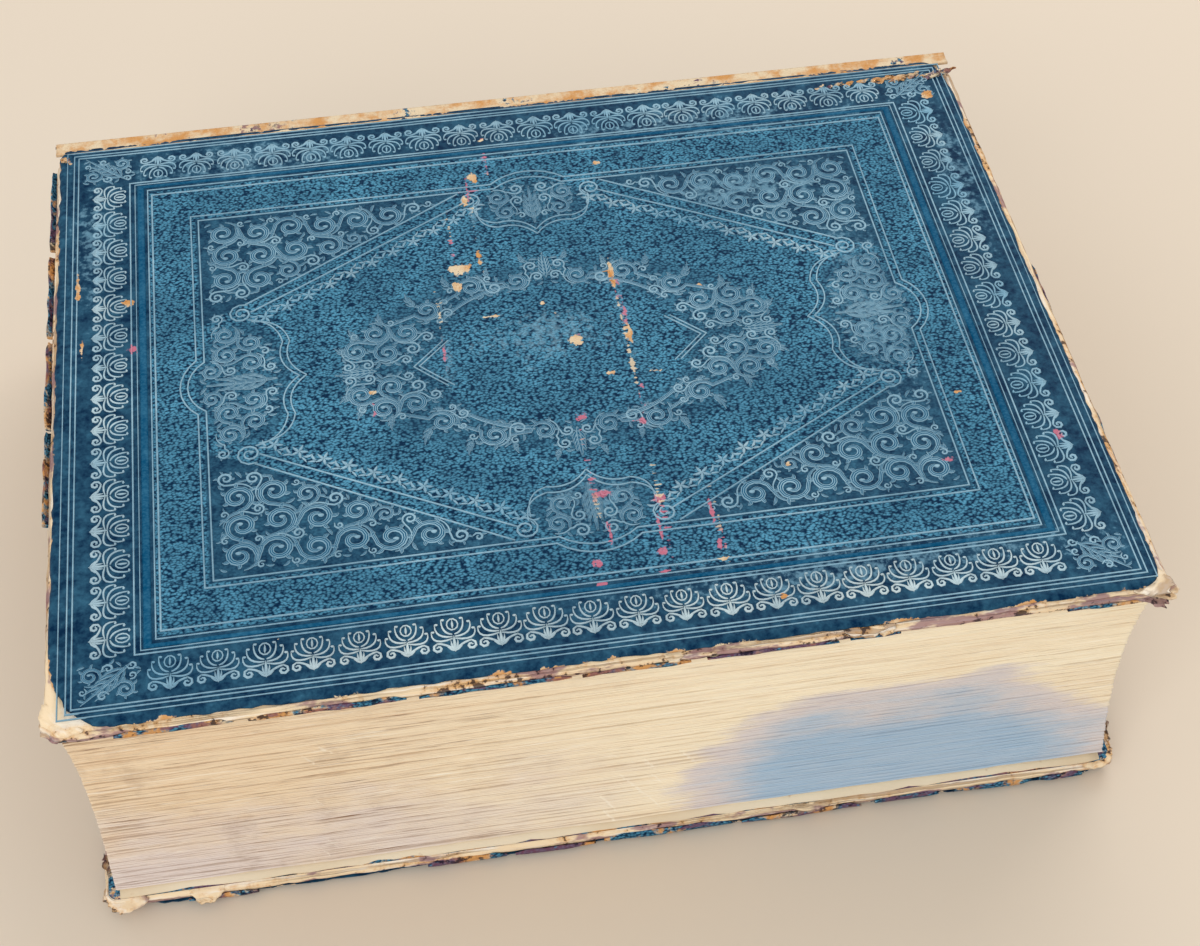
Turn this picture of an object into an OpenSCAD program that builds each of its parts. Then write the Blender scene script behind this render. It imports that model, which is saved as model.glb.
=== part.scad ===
// Large family bible in full leather, lying on its rear board.
// X runs along the spine from tail to head, the fore-edge faces -Y, the spine faces +Y.

/* [Book] */
// Height of the boards, from tail to head
book_l = 318; // [280:1:360]
// From the fore-edge of the boards to the crown of the raised bands
book_w = 258; // [230:1:290]
// Thickness over both boards
book_t = 98; // [80:1:110]

/* [Boards] */
// Thickness of the millboard
board_t = 5; // [3:0.5:7]
// Thickness of the cover leather
leather_t = 1.2; // [0.8:0.1:1.6]
// Thickness of the turned-in leather and of the pastedown beside it
turn_in_t = 0.6; // [0.4:0.1:1]
// Width of the leather turned in over the board
turn_in_w = 16; // [10:1:25]
// Radius of the board corners
corner_r = 5; // [2:0.5:10]
// How far the boards overhang the text block
overhang = 4; // [2:0.5:6]

/* [Text block] */
// Number of sewn groups of leaves, even
gathering_count = 24; // [12:2:28]
// Thickness of a loose leaf at either end
leaf_t = 0.4; // [0.3:0.1:0.8]
// Air beside each loose leaf
leaf_gap = 0.2; // [0.2:0.1:0.4]
// Depth of the hollow in the fore-edge
fore_edge_hollow = 6; // [2:0.5:10]

/* [Spine] */
// How far the spine is rounded
spine_round = 9; // [5:0.5:12]
// Depth of the shoulder behind the joint
shoulder_w = 3; // [2:0.5:5]
// Number of raised bands
band_count = 5; // [3:1:6]
// Height of a raised band
band_h = 2.5; // [1.5:0.1:4]
// Width of the strip inside a raised band
band_w = 8; // [5:0.5:12]

/* [Hidden] */
lining_t = 0.6;
mull_t = 0.3;
tape_t = 0.4;
tape_w = 12;
headband_w = 2.4;
headband_depth = 5;
joint_w = 3;
joint_t = 1;
joint_gap = 0.2;
window_r = 1;
roundness = 2.4;
bend_share = 0.8;
bend_power = 6;
end_band_inset = 2;
front_leaf_count = 4;
rear_leaf_count = 2;

half_l = book_l / 2;
mid_z = book_t / 2;
block_half_l = half_l - overhang;
fore_y = -book_w / 2;
shoulder_y = book_w / 2 - band_h - spine_round;
axis_y = shoulder_y - shoulder_w;
board_back_y = axis_y - joint_w;
block_fore_y = fore_y + overhang;

cover_t = leather_t + board_t + turn_in_t;
leaf_pitch = leaf_t + leaf_gap;
block_z0 = cover_t + leaf_gap + rear_leaf_count * leaf_pitch;
block_z1 = book_t - cover_t - leaf_gap - front_leaf_count * leaf_pitch;
gathering_t = (block_z1 - block_z0) / gathering_count;

lining_d = leather_t;
mull_d = lining_d + lining_t;
tape_d = mull_d + mull_t;
block_d = tape_d + tape_t;
band_pitch = book_l / (band_count + 1);

paper_color = [0.85, 0.79, 0.66];
edge_color = [0.72, 0.60, 0.45];
board_color = [0.66, 0.52, 0.40];
leather_color = [0.10, 0.30, 0.45];

function pad2(n) = n < 10 ? str("0", n) : str(n);

GATHERINGS = [for (i = [1 : gathering_count]) str("gathering_", pad2(i))];
BANDS = [for (i = [1 : band_count]) str("raised_band_", i)];
TAPES = [for (i = [1 : band_count]) str("sewing_tape_", i)];

// Share of the way from the middle of the spine to its edge, -1 at the bottom and 1 at the top
function level(i) = 2 * i / gathering_count - 1;

// Point of the rounded spine at a depth under the leather's surface; rise lifts the crown
function spine_point(i, depth, rise) = [
    shoulder_y - depth + (spine_round + rise) * (1 - pow(abs(level(i)), roundness)),
    mid_z + (mid_z - depth) * level(i)
];

// Fore-edge of the text block at a height
function fore_edge_y(z) =
    block_fore_y + fore_edge_hollow * (1 - pow((2 * z - block_z0 - block_z1) / (block_z1 - block_z0), 2));

// Where boundary i between two gatherings leaves the flat pages, and where it ends on the spine
function flat_point(i) = [axis_y, block_z0 + i * gathering_t];
function bent_point(i) = [
    axis_y + shoulder_w * bend_share * (1 - pow(level(i), bend_power)),
    mid_z + (mid_z - block_d) * level(i)
];

// Extrude an outline given in Y and Z along X
module along_x(x0, x1) {
    translate([x0, 0, 0])
        rotate([90, 0, 90])
            linear_extrude(height = x1 - x0)
                children();
}

module rounded_plate(x_half, y0, y1, z0, z1, r) {
    translate([0, 0, z0])
        linear_extrude(height = z1 - z0)
            union() {
                translate([-x_half + r, y0])
                    square([2 * (x_half - r), y1 - y0]);
                translate([-x_half, y0 + r])
                    square([2 * x_half, y1 - y0 - 2 * r]);
                for (x = [-x_half + r, x_half - r])
                    for (y = [y0 + r, y1 - r])
                        translate([x, y])
                            circle(r = r, $fn = 48);
            }
}

// The front cover is the rear cover turned over onto the top of the book
module in_cover_place(front) {
    if (front)
        translate([0, 0, book_t])
            mirror([0, 0, 1])
                children();
    else
        children();
}

module cover_board(front) {
    color(board_color)
        in_cover_place(front)
            board_solid();
}

module board_solid() {
    rounded_plate(half_l - leather_t, fore_y + leather_t, board_back_y - leather_t,
                  leather_t, leather_t + board_t, corner_r - leather_t);
}

// The sheet inside the frame of turned-in leather, or the window that it lies in
module pastedown_solid(top_z) {
    rounded_plate(half_l - turn_in_w, fore_y + turn_in_w, board_back_y - turn_in_w,
                  leather_t + board_t, top_z, window_r);
}

module cover_leather(front) {
    color(leather_color)
        in_cover_place(front)
            difference() {
                rounded_plate(half_l, fore_y, board_back_y, 0, cover_t, corner_r);
                board_solid();
                pastedown_solid(cover_t + 1);
            }
}

module pastedown(front) {
    color(paper_color)
        in_cover_place(front)
            pastedown_solid(cover_t);
}

module joint_leather(front) {
    color(leather_color)
        in_cover_place(front)
            along_x(-half_l + corner_r, half_l - corner_r)
                translate([board_back_y, 0])
                    square([joint_w - joint_gap, joint_t]);
}

// A loose leaf lies on the text block and turns up at the joint, next to the axis of the cover
module loose_leaf(front, place) {
    back_y = board_back_y + leaf_gap + place * leaf_pitch + leaf_t;
    low_z = cover_t + leaf_gap + place * leaf_pitch;
    color(paper_color)
        in_cover_place(front)
            along_x(-block_half_l, block_half_l)
                polygon([
                    [block_fore_y + place * leaf_t, low_z],
                    [back_y - leaf_t, low_z],
                    [back_y - leaf_t, joint_t + leaf_gap],
                    [back_y, joint_t + leaf_gap],
                    [back_y, low_z + leaf_t],
                    [block_fore_y + place * leaf_t, low_z + leaf_t]
                ]);
}

// Boundary i: fore-edge, joint, shoulder, spine
function boundary(i) = [
    [fore_edge_y(flat_point(i)[1]), flat_point(i)[1]],
    flat_point(i),
    bent_point(i),
    spine_point(i, block_d, 0)
];

module gathering(place) {
    upper = boundary(place);
    lower = boundary(place - 1);
    color(place % 2 == 0 ? edge_color : paper_color)
        along_x(-block_half_l, block_half_l)
            polygon(concat(lower, [for (k = [3 : -1 : 0]) upper[k]]));
}

// Outline between two depths of the spine, from the rear joint round to the front joint
module spine_slab(outer_depth, inner_depth) {
    polygon(concat(
        [[axis_y, outer_depth]],
        [for (i = [0 : gathering_count]) spine_point(i, outer_depth, 0)],
        [[axis_y, book_t - outer_depth], [axis_y, book_t - inner_depth]],
        [for (i = [gathering_count : -1 : 0]) spine_point(i, inner_depth, 0)],
        [[axis_y, inner_depth]]
    ));
}

module band_outline() {
    polygon(concat(
        [for (i = [0 : gathering_count]) spine_point(i, leather_t, band_h)],
        [for (i = [gathering_count - 1 : -1 : 1]) spine_point(i, leather_t, 0)]
    ));
}

module band_cover_outline() {
    polygon(concat(
        [for (i = [0 : gathering_count]) spine_point(i, 0, band_h)],
        [for (i = [gathering_count : -1 : 0]) spine_point(i, leather_t, 0)]
    ));
}

function band_x(i) = -half_l + i * band_pitch;

module raised_band(i) {
    color(board_color)
        along_x(band_x(i) - band_w / 2, band_x(i) + band_w / 2)
            band_outline();
}

module sewing_tape(i) {
    color(edge_color)
        along_x(band_x(i) - tape_w / 2, band_x(i) + tape_w / 2)
            spine_slab(tape_d, block_d);
}

module spine_leather() {
    color(leather_color)
        difference() {
            union() {
                along_x(-half_l, half_l)
                    spine_slab(0, leather_t);
                for (i = [1 : band_count])
                    along_x(band_x(i) - band_w / 2 - leather_t, band_x(i) + band_w / 2 + leather_t)
                        band_cover_outline();
            }
            for (i = [1 : band_count])
                raised_band(i);
        }
}

module spine_lining() {
    color(board_color)
        along_x(-block_half_l, block_half_l)
            spine_slab(lining_d, mull_d);
}

module spine_mull() {
    color(paper_color)
        along_x(-block_half_l + overhang, block_half_l - overhang)
            spine_slab(mull_d, tape_d);
}

module spine_glue() {
    color(edge_color)
        difference() {
            along_x(-block_half_l, block_half_l)
                spine_slab(tape_d, block_d);
            for (i = [1 : band_count])
                translate([band_x(i) - tape_w / 2, 0, -1])
                    cube([tape_w, book_w, book_t + 2]);
        }
}

module end_band(start_x) {
    low_i = end_band_inset;
    high_i = gathering_count - end_band_inset;
    color(leather_color)
        along_x(start_x, start_x + headband_w)
            polygon(concat(
                [for (i = [low_i : high_i]) spine_point(i, block_d, 0)],
                [for (i = [high_i : -1 : low_i]) spine_point(i, headband_depth + block_d, 0)]
            ));
}

cover_board(false);  // rear_board
cover_leather(false);  // rear_cover_leather
pastedown(false);  // rear_pastedown
joint_leather(false);  // rear_joint_leather
cover_board(true);  // front_board
cover_leather(true);  // front_cover_leather
pastedown(true);  // front_pastedown
joint_leather(true);  // front_joint_leather
loose_leaf(true, 0);  // front_endpaper
loose_leaf(true, 1);  // front_flyleaf
loose_leaf(true, 2);  // frontispiece_leaf
loose_leaf(true, 3);  // title_leaf
loose_leaf(false, 0);  // rear_endpaper
loose_leaf(false, 1);  // rear_flyleaf
spine_leather();
spine_lining();
spine_mull();
spine_glue();
end_band(block_half_l);  // headband
end_band(-block_half_l - headband_w);  // tailband
for (i = [1 : band_count])
    sewing_tape(i);
for (i = [1 : band_count])
    raised_band(i);
for (i = [1 : gathering_count])
    gathering(i);
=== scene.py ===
import math
import random

import bpy
import numpy as np
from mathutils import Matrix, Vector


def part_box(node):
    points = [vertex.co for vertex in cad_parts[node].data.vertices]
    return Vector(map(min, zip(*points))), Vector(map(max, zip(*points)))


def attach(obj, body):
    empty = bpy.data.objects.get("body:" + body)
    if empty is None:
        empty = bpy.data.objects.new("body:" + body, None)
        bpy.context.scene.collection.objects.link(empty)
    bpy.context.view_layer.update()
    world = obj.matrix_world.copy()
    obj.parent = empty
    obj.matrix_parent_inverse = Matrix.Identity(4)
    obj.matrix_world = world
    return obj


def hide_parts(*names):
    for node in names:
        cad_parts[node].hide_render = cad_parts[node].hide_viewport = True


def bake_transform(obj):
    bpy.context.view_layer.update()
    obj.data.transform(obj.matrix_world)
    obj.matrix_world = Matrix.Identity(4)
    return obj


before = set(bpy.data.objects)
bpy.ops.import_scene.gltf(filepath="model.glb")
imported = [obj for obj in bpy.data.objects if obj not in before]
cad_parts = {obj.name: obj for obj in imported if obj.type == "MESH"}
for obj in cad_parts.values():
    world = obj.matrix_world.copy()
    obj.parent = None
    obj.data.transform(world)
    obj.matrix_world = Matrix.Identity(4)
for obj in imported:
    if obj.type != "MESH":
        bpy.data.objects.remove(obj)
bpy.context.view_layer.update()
mm = 0.001

# places taken from the frame, in millimetres
def boxOf(node):
    return [[value / mm for value in corner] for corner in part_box(node)]


coverLow, coverHigh = boxOf("front_cover_leather")
boardBackY = boxOf("front_board")[1][1]
pastedownLow, pastedownHigh = boxOf("front_pastedown")
topZ = coverHigh[2]
midZ = topZ / 2
halfLength = coverHigh[0]
foreY = coverLow[1]
coverBackY = coverHigh[1]
coverThick = coverHigh[2] - coverLow[2]
axisY = boxOf("spine_leather")[0][1]
patternY = (foreY + axisY) / 2 + 0.75  # middle of the tooled design
print("frame read: book", round(2 * halfLength), "mm long,", round(topZ), "mm thick")

# the camera stands in front of the fore-edge, a little to the left
cameraSettings = {
    "place": (-0.05549, -0.44868, 0.55161),
    "turn": (40.8445, 0.2711, -9.0367),
    "lens": 60.52,
    "sensor": 36,
}
cameraData = bpy.data.cameras.new("bookCamera")
cameraData.lens = cameraSettings["lens"]
cameraData.sensor_width = cameraSettings["sensor"]
camera = bpy.data.objects.new("bookCamera", cameraData)
camera.location = cameraSettings["place"]
camera.rotation_euler = [math.radians(angle) for angle in cameraSettings["turn"]]
bpy.context.scene.collection.objects.link(camera)
bpy.context.scene.camera = camera


class Wire:
    # a socket of a node tree, with the operators that its values need
    def __init__(self, tree, socket=None):
        self.tree = tree
        self.socket = socket

    def node(self, kind, settings=None, sockets=None, out=0):
        made = self.tree.nodes.new(kind)
        for key, value in (settings or {}).items():
            if key == "stops":
                ramp = made.color_ramp
                while len(ramp.elements) < len(value):
                    ramp.elements.new(0.5)
                for stop, (place, colour) in zip(ramp.elements, value):
                    stop.position = place
                    stop.color = colour
            else:
                setattr(made, key, value)
        for key, value in (sockets or {}).items():
            if isinstance(value, Wire):
                self.tree.links.new(value.socket, made.inputs[key])
            else:
                made.inputs[key].default_value = value
        return Wire(self.tree, made.outputs[out] if len(made.outputs) else None)

    def maths(self, operation, *values, clamp=False):
        settings = {"operation": operation, "use_clamp": clamp}
        return self.node("ShaderNodeMath", settings, dict(enumerate(values)))

    def __add__(self, other):
        return self.maths("ADD", self, other)

    __radd__ = __add__

    def __mul__(self, other):
        return self.maths("MULTIPLY", self, other)

    __rmul__ = __mul__

    def __sub__(self, other):
        return self.maths("SUBTRACT", self, other)

    def __rsub__(self, other):
        return self.maths("SUBTRACT", other, self)

    def __truediv__(self, other):
        return self.maths("DIVIDE", self, other)

    def __abs__(self):
        return self.maths("ABSOLUTE", self)

    def clip(self):
        return self.maths("ADD", self, 0.0, clamp=True)

    def step(self, low, high):
        # 0 below low, 1 above high, smooth between; the other way round if low > high
        settings = {"interpolation_type": "SMOOTHSTEP"}
        return self.node("ShaderNodeMapRange", settings, {0: self, 1: low, 2: high, 3: 0.0, 4: 1.0})

    def most(self, other):
        return self.maths("MAXIMUM", self, other)

    def least(self, other):
        return self.maths("MINIMUM", self, other)

    def axis(self, letter):
        return self.node("ShaderNodeSeparateXYZ", None, {0: self}, out="XYZ".index(letter))

    def stretch(self, scale, move=(0.0, 0.0, 0.0)):
        return self.node("ShaderNodeMapping", None, {0: self, 1: move, 3: scale})

    def noise(self, scale, detail=3.0, rough=0.55, warp=0.0):
        sockets = {"Vector": self, "Scale": scale, "Detail": detail, "Roughness": rough, "Distortion": warp}
        return self.node("ShaderNodeTexNoise", None, sockets)

    def mix(self, first, second, blend="MIX"):
        # self is the share of the second colour
        settings = {"data_type": "RGBA", "blend_type": blend}
        return self.node("ShaderNodeMix", settings, {0: self, 6: first, 7: second}, out=2)


def rgb(red, green, blue):
    # a colour given as it looks on screen, 0 to 255
    def straight(value):
        value = value / 255
        return value / 12.92 if value < 0.04045 else ((value + 0.055) / 1.055) ** 2.4
    return (straight(red), straight(green), straight(blue), 1.0)


def newFinish(name):
    finish = bpy.data.materials.new(name)
    finish.use_nodes = True
    finish.node_tree.nodes.clear()
    wire = Wire(finish.node_tree)
    return finish, wire, wire.node("ShaderNodeTexCoord", out="Object")


def closeFinish(wire, colour, roughness, height=None, depth=0.0003, strength=1.0, **fixed):
    sockets = {"Base Color": colour, "Roughness": roughness}
    if height is not None:
        sockets["Normal"] = wire.node(
            "ShaderNodeBump", None, {"Strength": strength, "Distance": depth, "Height": height})
    for key, value in fixed.items():
        sockets[key.replace("_", " ")] = value
    shader = wire.node("ShaderNodeBsdfPrincipled", None, sockets)
    wire.node("ShaderNodeOutputMaterial", None, {"Surface": shader})


def mark(wire, name):
    return wire.node("ShaderNodeAttribute", {"attribute_name": name}, out="Fac")


# the leather of the covers and spine: pebbled, its tops pale partly from rubbing and partly as painted
# highlight, its crevices dark as painted shade, worn through in spots
leather = {
    # crevice is painted shade in the grain's hollows; top is partly rubbed wear and partly painted highlight
    "crevice": rgb(0, 36, 66),
    "top": rgb(92, 162, 194),
    "smooth": rgb(0, 72, 108),
    "scuffed": rgb(122, 164, 186),
    "cream": rgb(224, 204, 172),
    "fibre": rgb(206, 150, 92),
    "blush": rgb(208, 116, 136),
    "plum": rgb(118, 74, 92),
    "soot": rgb(14, 24, 40),
    "grainSize": 0.74,
    "grainDepth": 0.0002,
    "roughness": 0.5,
    "gloss": 0.04,
    "mottle": (420.0, 4.0, 0.68),  # size, detail and roughness of the three unevennesses
    "cloud": (24.0, 5.0, 0.6),
    "patch": (110.0, 4.0, 0.65),
}
# the tooled strokes: pale ridges that are partly rubbed wear and partly painted highlight, and painted shadow at
# the edges of broad strokes
tooling = {
    "pale": rgb(130, 178, 202),
    "bright": rgb(212, 226, 226),
    "body": rgb(26, 88, 120),
    # painted shadow colour for the edges of the broad strokes
    "outline": rgb(0, 38, 64),
    "rise": 0.22,
    "sink": 0.25,
    "line": 0.75,
    "shine": 0.25,
}
# the frame's smooth border starts here, and the tooled corners lie beyond this slanting line
zones = {
    "borderX": 0.1268,
    "borderY": 0.0936,
    "fieldX": 0.1115,
    "fieldY": 0.0772,
    "slant": (0.496, 0.868, 0.0780),
    "sideLobe": (0.099, 0.0, 0.0145, 0.027),
    "topLobe": (0.0, 0.067, 0.019, 0.0115),
    "wreathIn": (0.0, 0.0, 0.040, 0.030),
    "wreathOut": (0.0, 0.0, 0.070, 0.042),
    "underFoliage": 0.5,
}


def pressedZone(wire, place):
    # 1 where the leather was pressed smooth, 0 on the pebbled ground
    acrossX = abs(place.axis("X"))
    acrossY = abs(place.axis("Y") - patternY * mm)
    border = (acrossX - zones["borderX"]).most(acrossY - zones["borderY"]).step(0.0, 0.0008)
    inField = (acrossX - zones["fieldX"]).most(acrossY - zones["fieldY"]).step(0.0008, 0.0)
    slantX, slantY, reach = zones["slant"]
    beyond = (acrossX * slantX + acrossY * slantY - reach).step(0.0, 0.0012)

    def within(middleX, middleY, halfX, halfY, height=acrossY):
        overX = (acrossX - middleX) / halfX
        overY = (height - middleY) / halfY
        return overX * overX + overY * overY
    fromWreath = abs(place.axis("Y") - (patternY - 2.0) * mm)
    ring = within(*zones["wreathIn"], fromWreath).step(0.9, 1.15)
    ring = ring * within(*zones["wreathOut"], fromWreath).step(1.1, 0.8)
    lobes = within(*zones["sideLobe"]).least(within(*zones["topLobe"])).step(1.1, 0.85)
    return border.most(inField * beyond * 0.85).most(ring.most(lobes) * zones["underFoliage"])


def leatherFinish(name, kind="pebbled"):
    finish, wire, place = newFinish(name)
    mottle = place.noise(*leather["mottle"])
    cloud = place.noise(*leather["cloud"])
    patch = place.noise(*leather["patch"])
    bent = wire.node("ShaderNodeVectorMath", {"operation": "MULTIPLY_ADD"}, {
        0: place.node("ShaderNodeTexNoise", None, {"Vector": place, "Scale": 500.0, "Detail": 1.0},
                      out="Color"),
        1: (0.0009, 0.0009, 0.0009), 2: place})
    cells = wire.node("ShaderNodeTexVoronoi", None,
                      {"Vector": bent.stretch((0.72, 1.0, 1.0)), "Scale": 1000 / leather["grainSize"]})
    pebble = cells.step(0.84, 0.2)
    broad = cloud.step(0.34, 0.7)
    if kind == "tooled":
        across = abs(mark(wire, "across"))
        # pale ridge and vein lines: partly rubbed wear, partly painted highlight
        ridge = across.step(0.42, 0.6) * across.step(0.92, 0.8)
        vein = across.step(0.16, 0.08)
        ridgeWearAndHighlight = (ridge.most(vein) * (0.38 + broad * 0.35 + patch * 0.45)).clip()
        pale = mark(wire, "bright").mix(tooling["pale"], tooling["bright"])
        colour = (ridgeWearAndHighlight * (0.5 + mottle * 0.9)).clip().mix(tooling["body"], pale)
        # painted shadow: the outer edges of the broad strokes are darkened as shade beside the raised ridge
        colour = across.step(0.86, 0.95).mix(colour, tooling["outline"])
        height = mottle * 0.6
    elif kind == "pressed":
        colour = (pebble * 0.12 + patch.step(0.4, 0.8) * 0.2).clip().mix(leather["smooth"], leather["top"])
        height = mottle * 0.4 + pebble * 0.15
    else:
        # the grain's tops are mixed toward the top colour, partly rubbed wear and partly painted highlight; its
        # crevices keep the crevice colour as painted shade
        rubAndHighlight = pebble * (0.52 + broad * 0.2 + patch.step(0.35, 0.75) * 0.26)
        if kind == "pebbled":
            pressed = pressedZone(wire, place)
            flat = 0.06 + patch.step(0.35, 0.8) * 0.2 + (mottle - 0.5) * 0.5
            rubAndHighlight = rubAndHighlight * (1 - pressed) + flat * pressed
            height = pebble * (1 - pressed * 0.9) + mottle * 0.3
        else:
            height = pebble + mottle * 0.3
        colour = rubAndHighlight.clip().mix(leather["crevice"], leather["top"])
    scuff = (mark(wire, "scuff") * 0.2 + mottle * 0.7 + patch * 0.3).step(0.64, 0.78)
    colour = (scuff * 0.5).mix(colour, leather["scuffed"])
    if kind == "frayed":
        torn = (patch * 0.6 + cloud * 0.5).step(0.54, 0.6)
        smear = place.stretch((50.0, 50.0, 160.0), (0.2, 0.7, 0.4)).noise(1.5, 4.0, 0.6)
        colour = torn.mix(colour, patch.step(0.45, 0.6).mix(leather["cream"], leather["fibre"]))
        colour = (smear.step(0.5, 0.56) * 0.75).mix(colour, leather["plum"])
        # near-black blotches over the torn leather
        colour = ((mottle * 0.5 + cloud * 0.5).step(0.53, 0.57) * 0.85).mix(colour, leather["soot"])
    rough = (mottle - 0.5) * 1.5 + (patch - 0.5) * 0.9
    blush = (mark(wire, "blush") + rough).step(0.62, 0.78)
    colour = (blush * 0.8).mix(colour, leather["blush"])
    wear = (mark(wire, "wear") + rough).step(0.62, 0.74)
    worn = patch.step(0.4, 0.65).mix(leather["cream"], leather["fibre"])
    colour = wear.mix(colour, worn)
    # short pale and pink ticks, one above another, where the grain was dragged
    dash = place.stretch((150.0, 820.0, 150.0)).noise(1.0, 2.0, 0.6)
    tick = (mark(wire, "tick") * 0.5 + dash).step(0.95, 1.02)
    tint = place.noise(46.0, 2.0).step(0.46, 0.54).mix(leather["cream"], leather["blush"])
    colour = (tick * 0.8).mix(colour, tint)
    speck = (mottle + broad * 0.06).step(0.79, 0.82)
    colour = (speck * 0.6).mix(colour, leather["cream"])
    roughness = leather["roughness"] + wear * 0.35 - pebble * 0.08 + (patch - 0.5) * 0.2
    closeFinish(wire, colour, roughness.clip(), height, leather["grainDepth"], 0.9,
                Specular_IOR_Level=leather["gloss"])
    return finish


# the board where the leather has gone: layers of grey-brown paper, orange and plum at the edges, dark flecks
# that thicken low on each edge as painted shade
boardWearAndShade = {
    "cream": rgb(240, 216, 180),
    "orange": rgb(214, 162, 102),
    "plum": rgb(142, 100, 116),
    "white": rgb(248, 240, 228),
    # dark: flecks, and painted shade low on each edge
    "dark": rgb(34, 30, 42),
    "layer": rgb(152, 116, 84),
}


def boardFinish(name):
    finish, wire, place = newFinish(name)
    streak = place.stretch((14.0, 14.0, 260.0)).noise(3.0, 5.0, 0.65)
    upZ = place.axis("Z")
    onTop = upZ.step(0.0499, 0.0501)
    level = (upZ - onTop * 0.0912).step(0.0002, 0.0052)  # 0 at the foot of each board's edge, 1 at its top
    cloud = place.noise(34.0, 4.0, 0.6)
    blot = place.stretch((30.0, 30.0, 90.0), (0.3, 0.1, 0.7)).noise(2.0, 4.0, 0.6)
    fleck = place.noise(420.0, 3.0, 0.6)
    colour = (cloud * 0.6 + fleck * 0.4).step(0.46, 0.62).mix(boardWearAndShade["cream"], boardWearAndShade["orange"])
    colour = (streak.step(0.48, 0.62) * 0.7).mix(colour, boardWearAndShade["white"])
    layer = place.stretch((9.0, 9.0, 950.0)).noise(1.0, 2.0, 0.6)
    colour = (layer.step(0.54, 0.62) * 0.6).mix(colour, boardWearAndShade["layer"])
    colour = ((blot - level * 0.12).step(0.42, 0.5) * 0.75).mix(colour, boardWearAndShade["plum"])
    # painted shade: the dark flecks grow denser toward the foot of each board's edge
    dark = (fleck * 0.6 + cloud * 0.5 - level * 0.1).step(0.53, 0.58)
    colour = (dark * 0.85).mix(colour, boardWearAndShade["dark"])
    height = streak + fleck * 0.4 - layer.step(0.5, 0.62) * 1.2
    closeFinish(wire, colour, 0.85, height, 0.0005, 0.9, Specular_IOR_Level=0.2)
    return finish


# the flat of the leaves: foxed, browner at the margins
paper = {
    "light": rgb(240, 226, 200),
    "shade": rgb(222, 200, 166),
    "fox": rgb(176, 132, 88),
}


# the leaves seen at their edges: cream, browner towards the tail, with a blue stain near the head
pageEdge = {
    "light": rgb(253, 240, 212),
    "white": rgb(255, 248, 232),
    "tan": rgb(232, 202, 164),
    "mauve": rgb(228, 216, 212),
    "brown": rgb(150, 116, 90),
    "stain": rgb(158, 188, 211),
    "lavender": rgb(196, 190, 206),
    "stainX": 0.089,
    "stainZ": 0.004,
    "stainHalfX": 0.072,
    "stainHalfZ": 0.046,
}


def pageEdgeFinish(name):
    finish, wire, place = newFinish(name)
    alongX = place.axis("X")
    upZ = place.axis("Z")
    drift = (place.noise(24.0, 2.0) - 0.5) * 0.0016
    wavy = wire.node("ShaderNodeCombineXYZ", None, {0: alongX, 1: place.axis("Y"), 2: upZ + drift})
    lines = wavy.stretch((9.0, 9.0, 2100.0)).noise(1.0, 3.0, 0.7)
    bundles = wavy.stretch((4.0, 4.0, 520.0)).noise(1.0, 3.0, 0.65)
    patch = place.stretch((16.0, 16.0, 46.0)).noise(1.5, 5.0, 0.62)
    tail = (alongX + (patch - 0.5) * 0.22).step(0.05, -0.15)
    foot = (upZ + (patch - 0.5) * 0.05).step(0.046, 0.014)
    shade = (tail * 0.62 + bundles.step(0.45, 0.7) * 0.2 + (patch - 0.48) * 0.8).clip()
    colour = shade.mix(pageEdge["light"], pageEdge["tan"])
    colour = (tail * foot * 0.85).mix(colour, pageEdge["mauve"])
    broken = place.stretch((70.0, 70.0, 3000.0)).noise(1.0, 2.0, 0.6)
    leafLinesAndCreaseShade = lines.step(0.5, 0.72) * broken.step(0.38, 0.58) * (0.3 + tail * 0.5)
    # painted shade: the crease mark browns each bundle's edge toward where it meets the next, as shade between
    # bundles
    leafLinesAndCreaseShade = leafLinesAndCreaseShade + mark(wire, "crease") * (0.28 + tail * 0.16)
    colour = leafLinesAndCreaseShade.clip().mix(colour, pageEdge["brown"])
    grime = (place.noise(52.0, 5.0, 0.68) * 0.8 + broken * 0.2).step(0.5, 0.68) * tail
    colour = (grime * 0.32).mix(colour, pageEdge["brown"])
    bright = (lines.step(0.42, 0.3) * 0.45 + broken.step(0.6, 0.72) * 0.35).clip()
    colour = bright.mix(colour, pageEdge["white"])
    # pale scratches that slant across the leaves
    slant = wire.node("ShaderNodeCombineXYZ", None,
                      {0: alongX * 0.8 + upZ * 0.6, 1: 0.0, 2: upZ * 0.8 - alongX * 0.6})
    scratch = slant.stretch((520.0, 1.0, 34.0)).noise(1.0, 2.0) * place.noise(26.0, 2.0).step(0.52, 0.66)
    colour = (scratch.step(0.6, 0.7) * 0.35).mix(colour, pageEdge["white"])
    overX = (alongX - pageEdge["stainX"]) / pageEdge["stainHalfX"]
    overZ = (upZ - pageEdge["stainZ"]) / pageEdge["stainHalfZ"]
    reach = overX * overX + overZ * overZ + (patch - 0.5) * 1.5 + (lines - 0.5) * 0.5
    fringe = reach.step(1.3, 0.95) * 0.55
    stain = reach.step(1.0, 0.3) * (0.6 + broken * 0.4)
    colour = fringe.mix(colour, pageEdge["lavender"])
    colour = stain.mix(colour, pageEdge["stain"])
    # the open page, away from its edges
    page = mark(wire, "page")
    flat = place.noise(14.0, 5.0, 0.6).step(0.35, 0.7) * 0.6
    colour = page.mix(colour, flat.mix(paper["light"], paper["shade"]))
    height = (lines + bundles * 0.5) * (1 - page)
    closeFinish(wire, colour, 0.9, height, 0.0003, 0.9, Specular_IOR_Level=0.2)
    return finish


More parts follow.
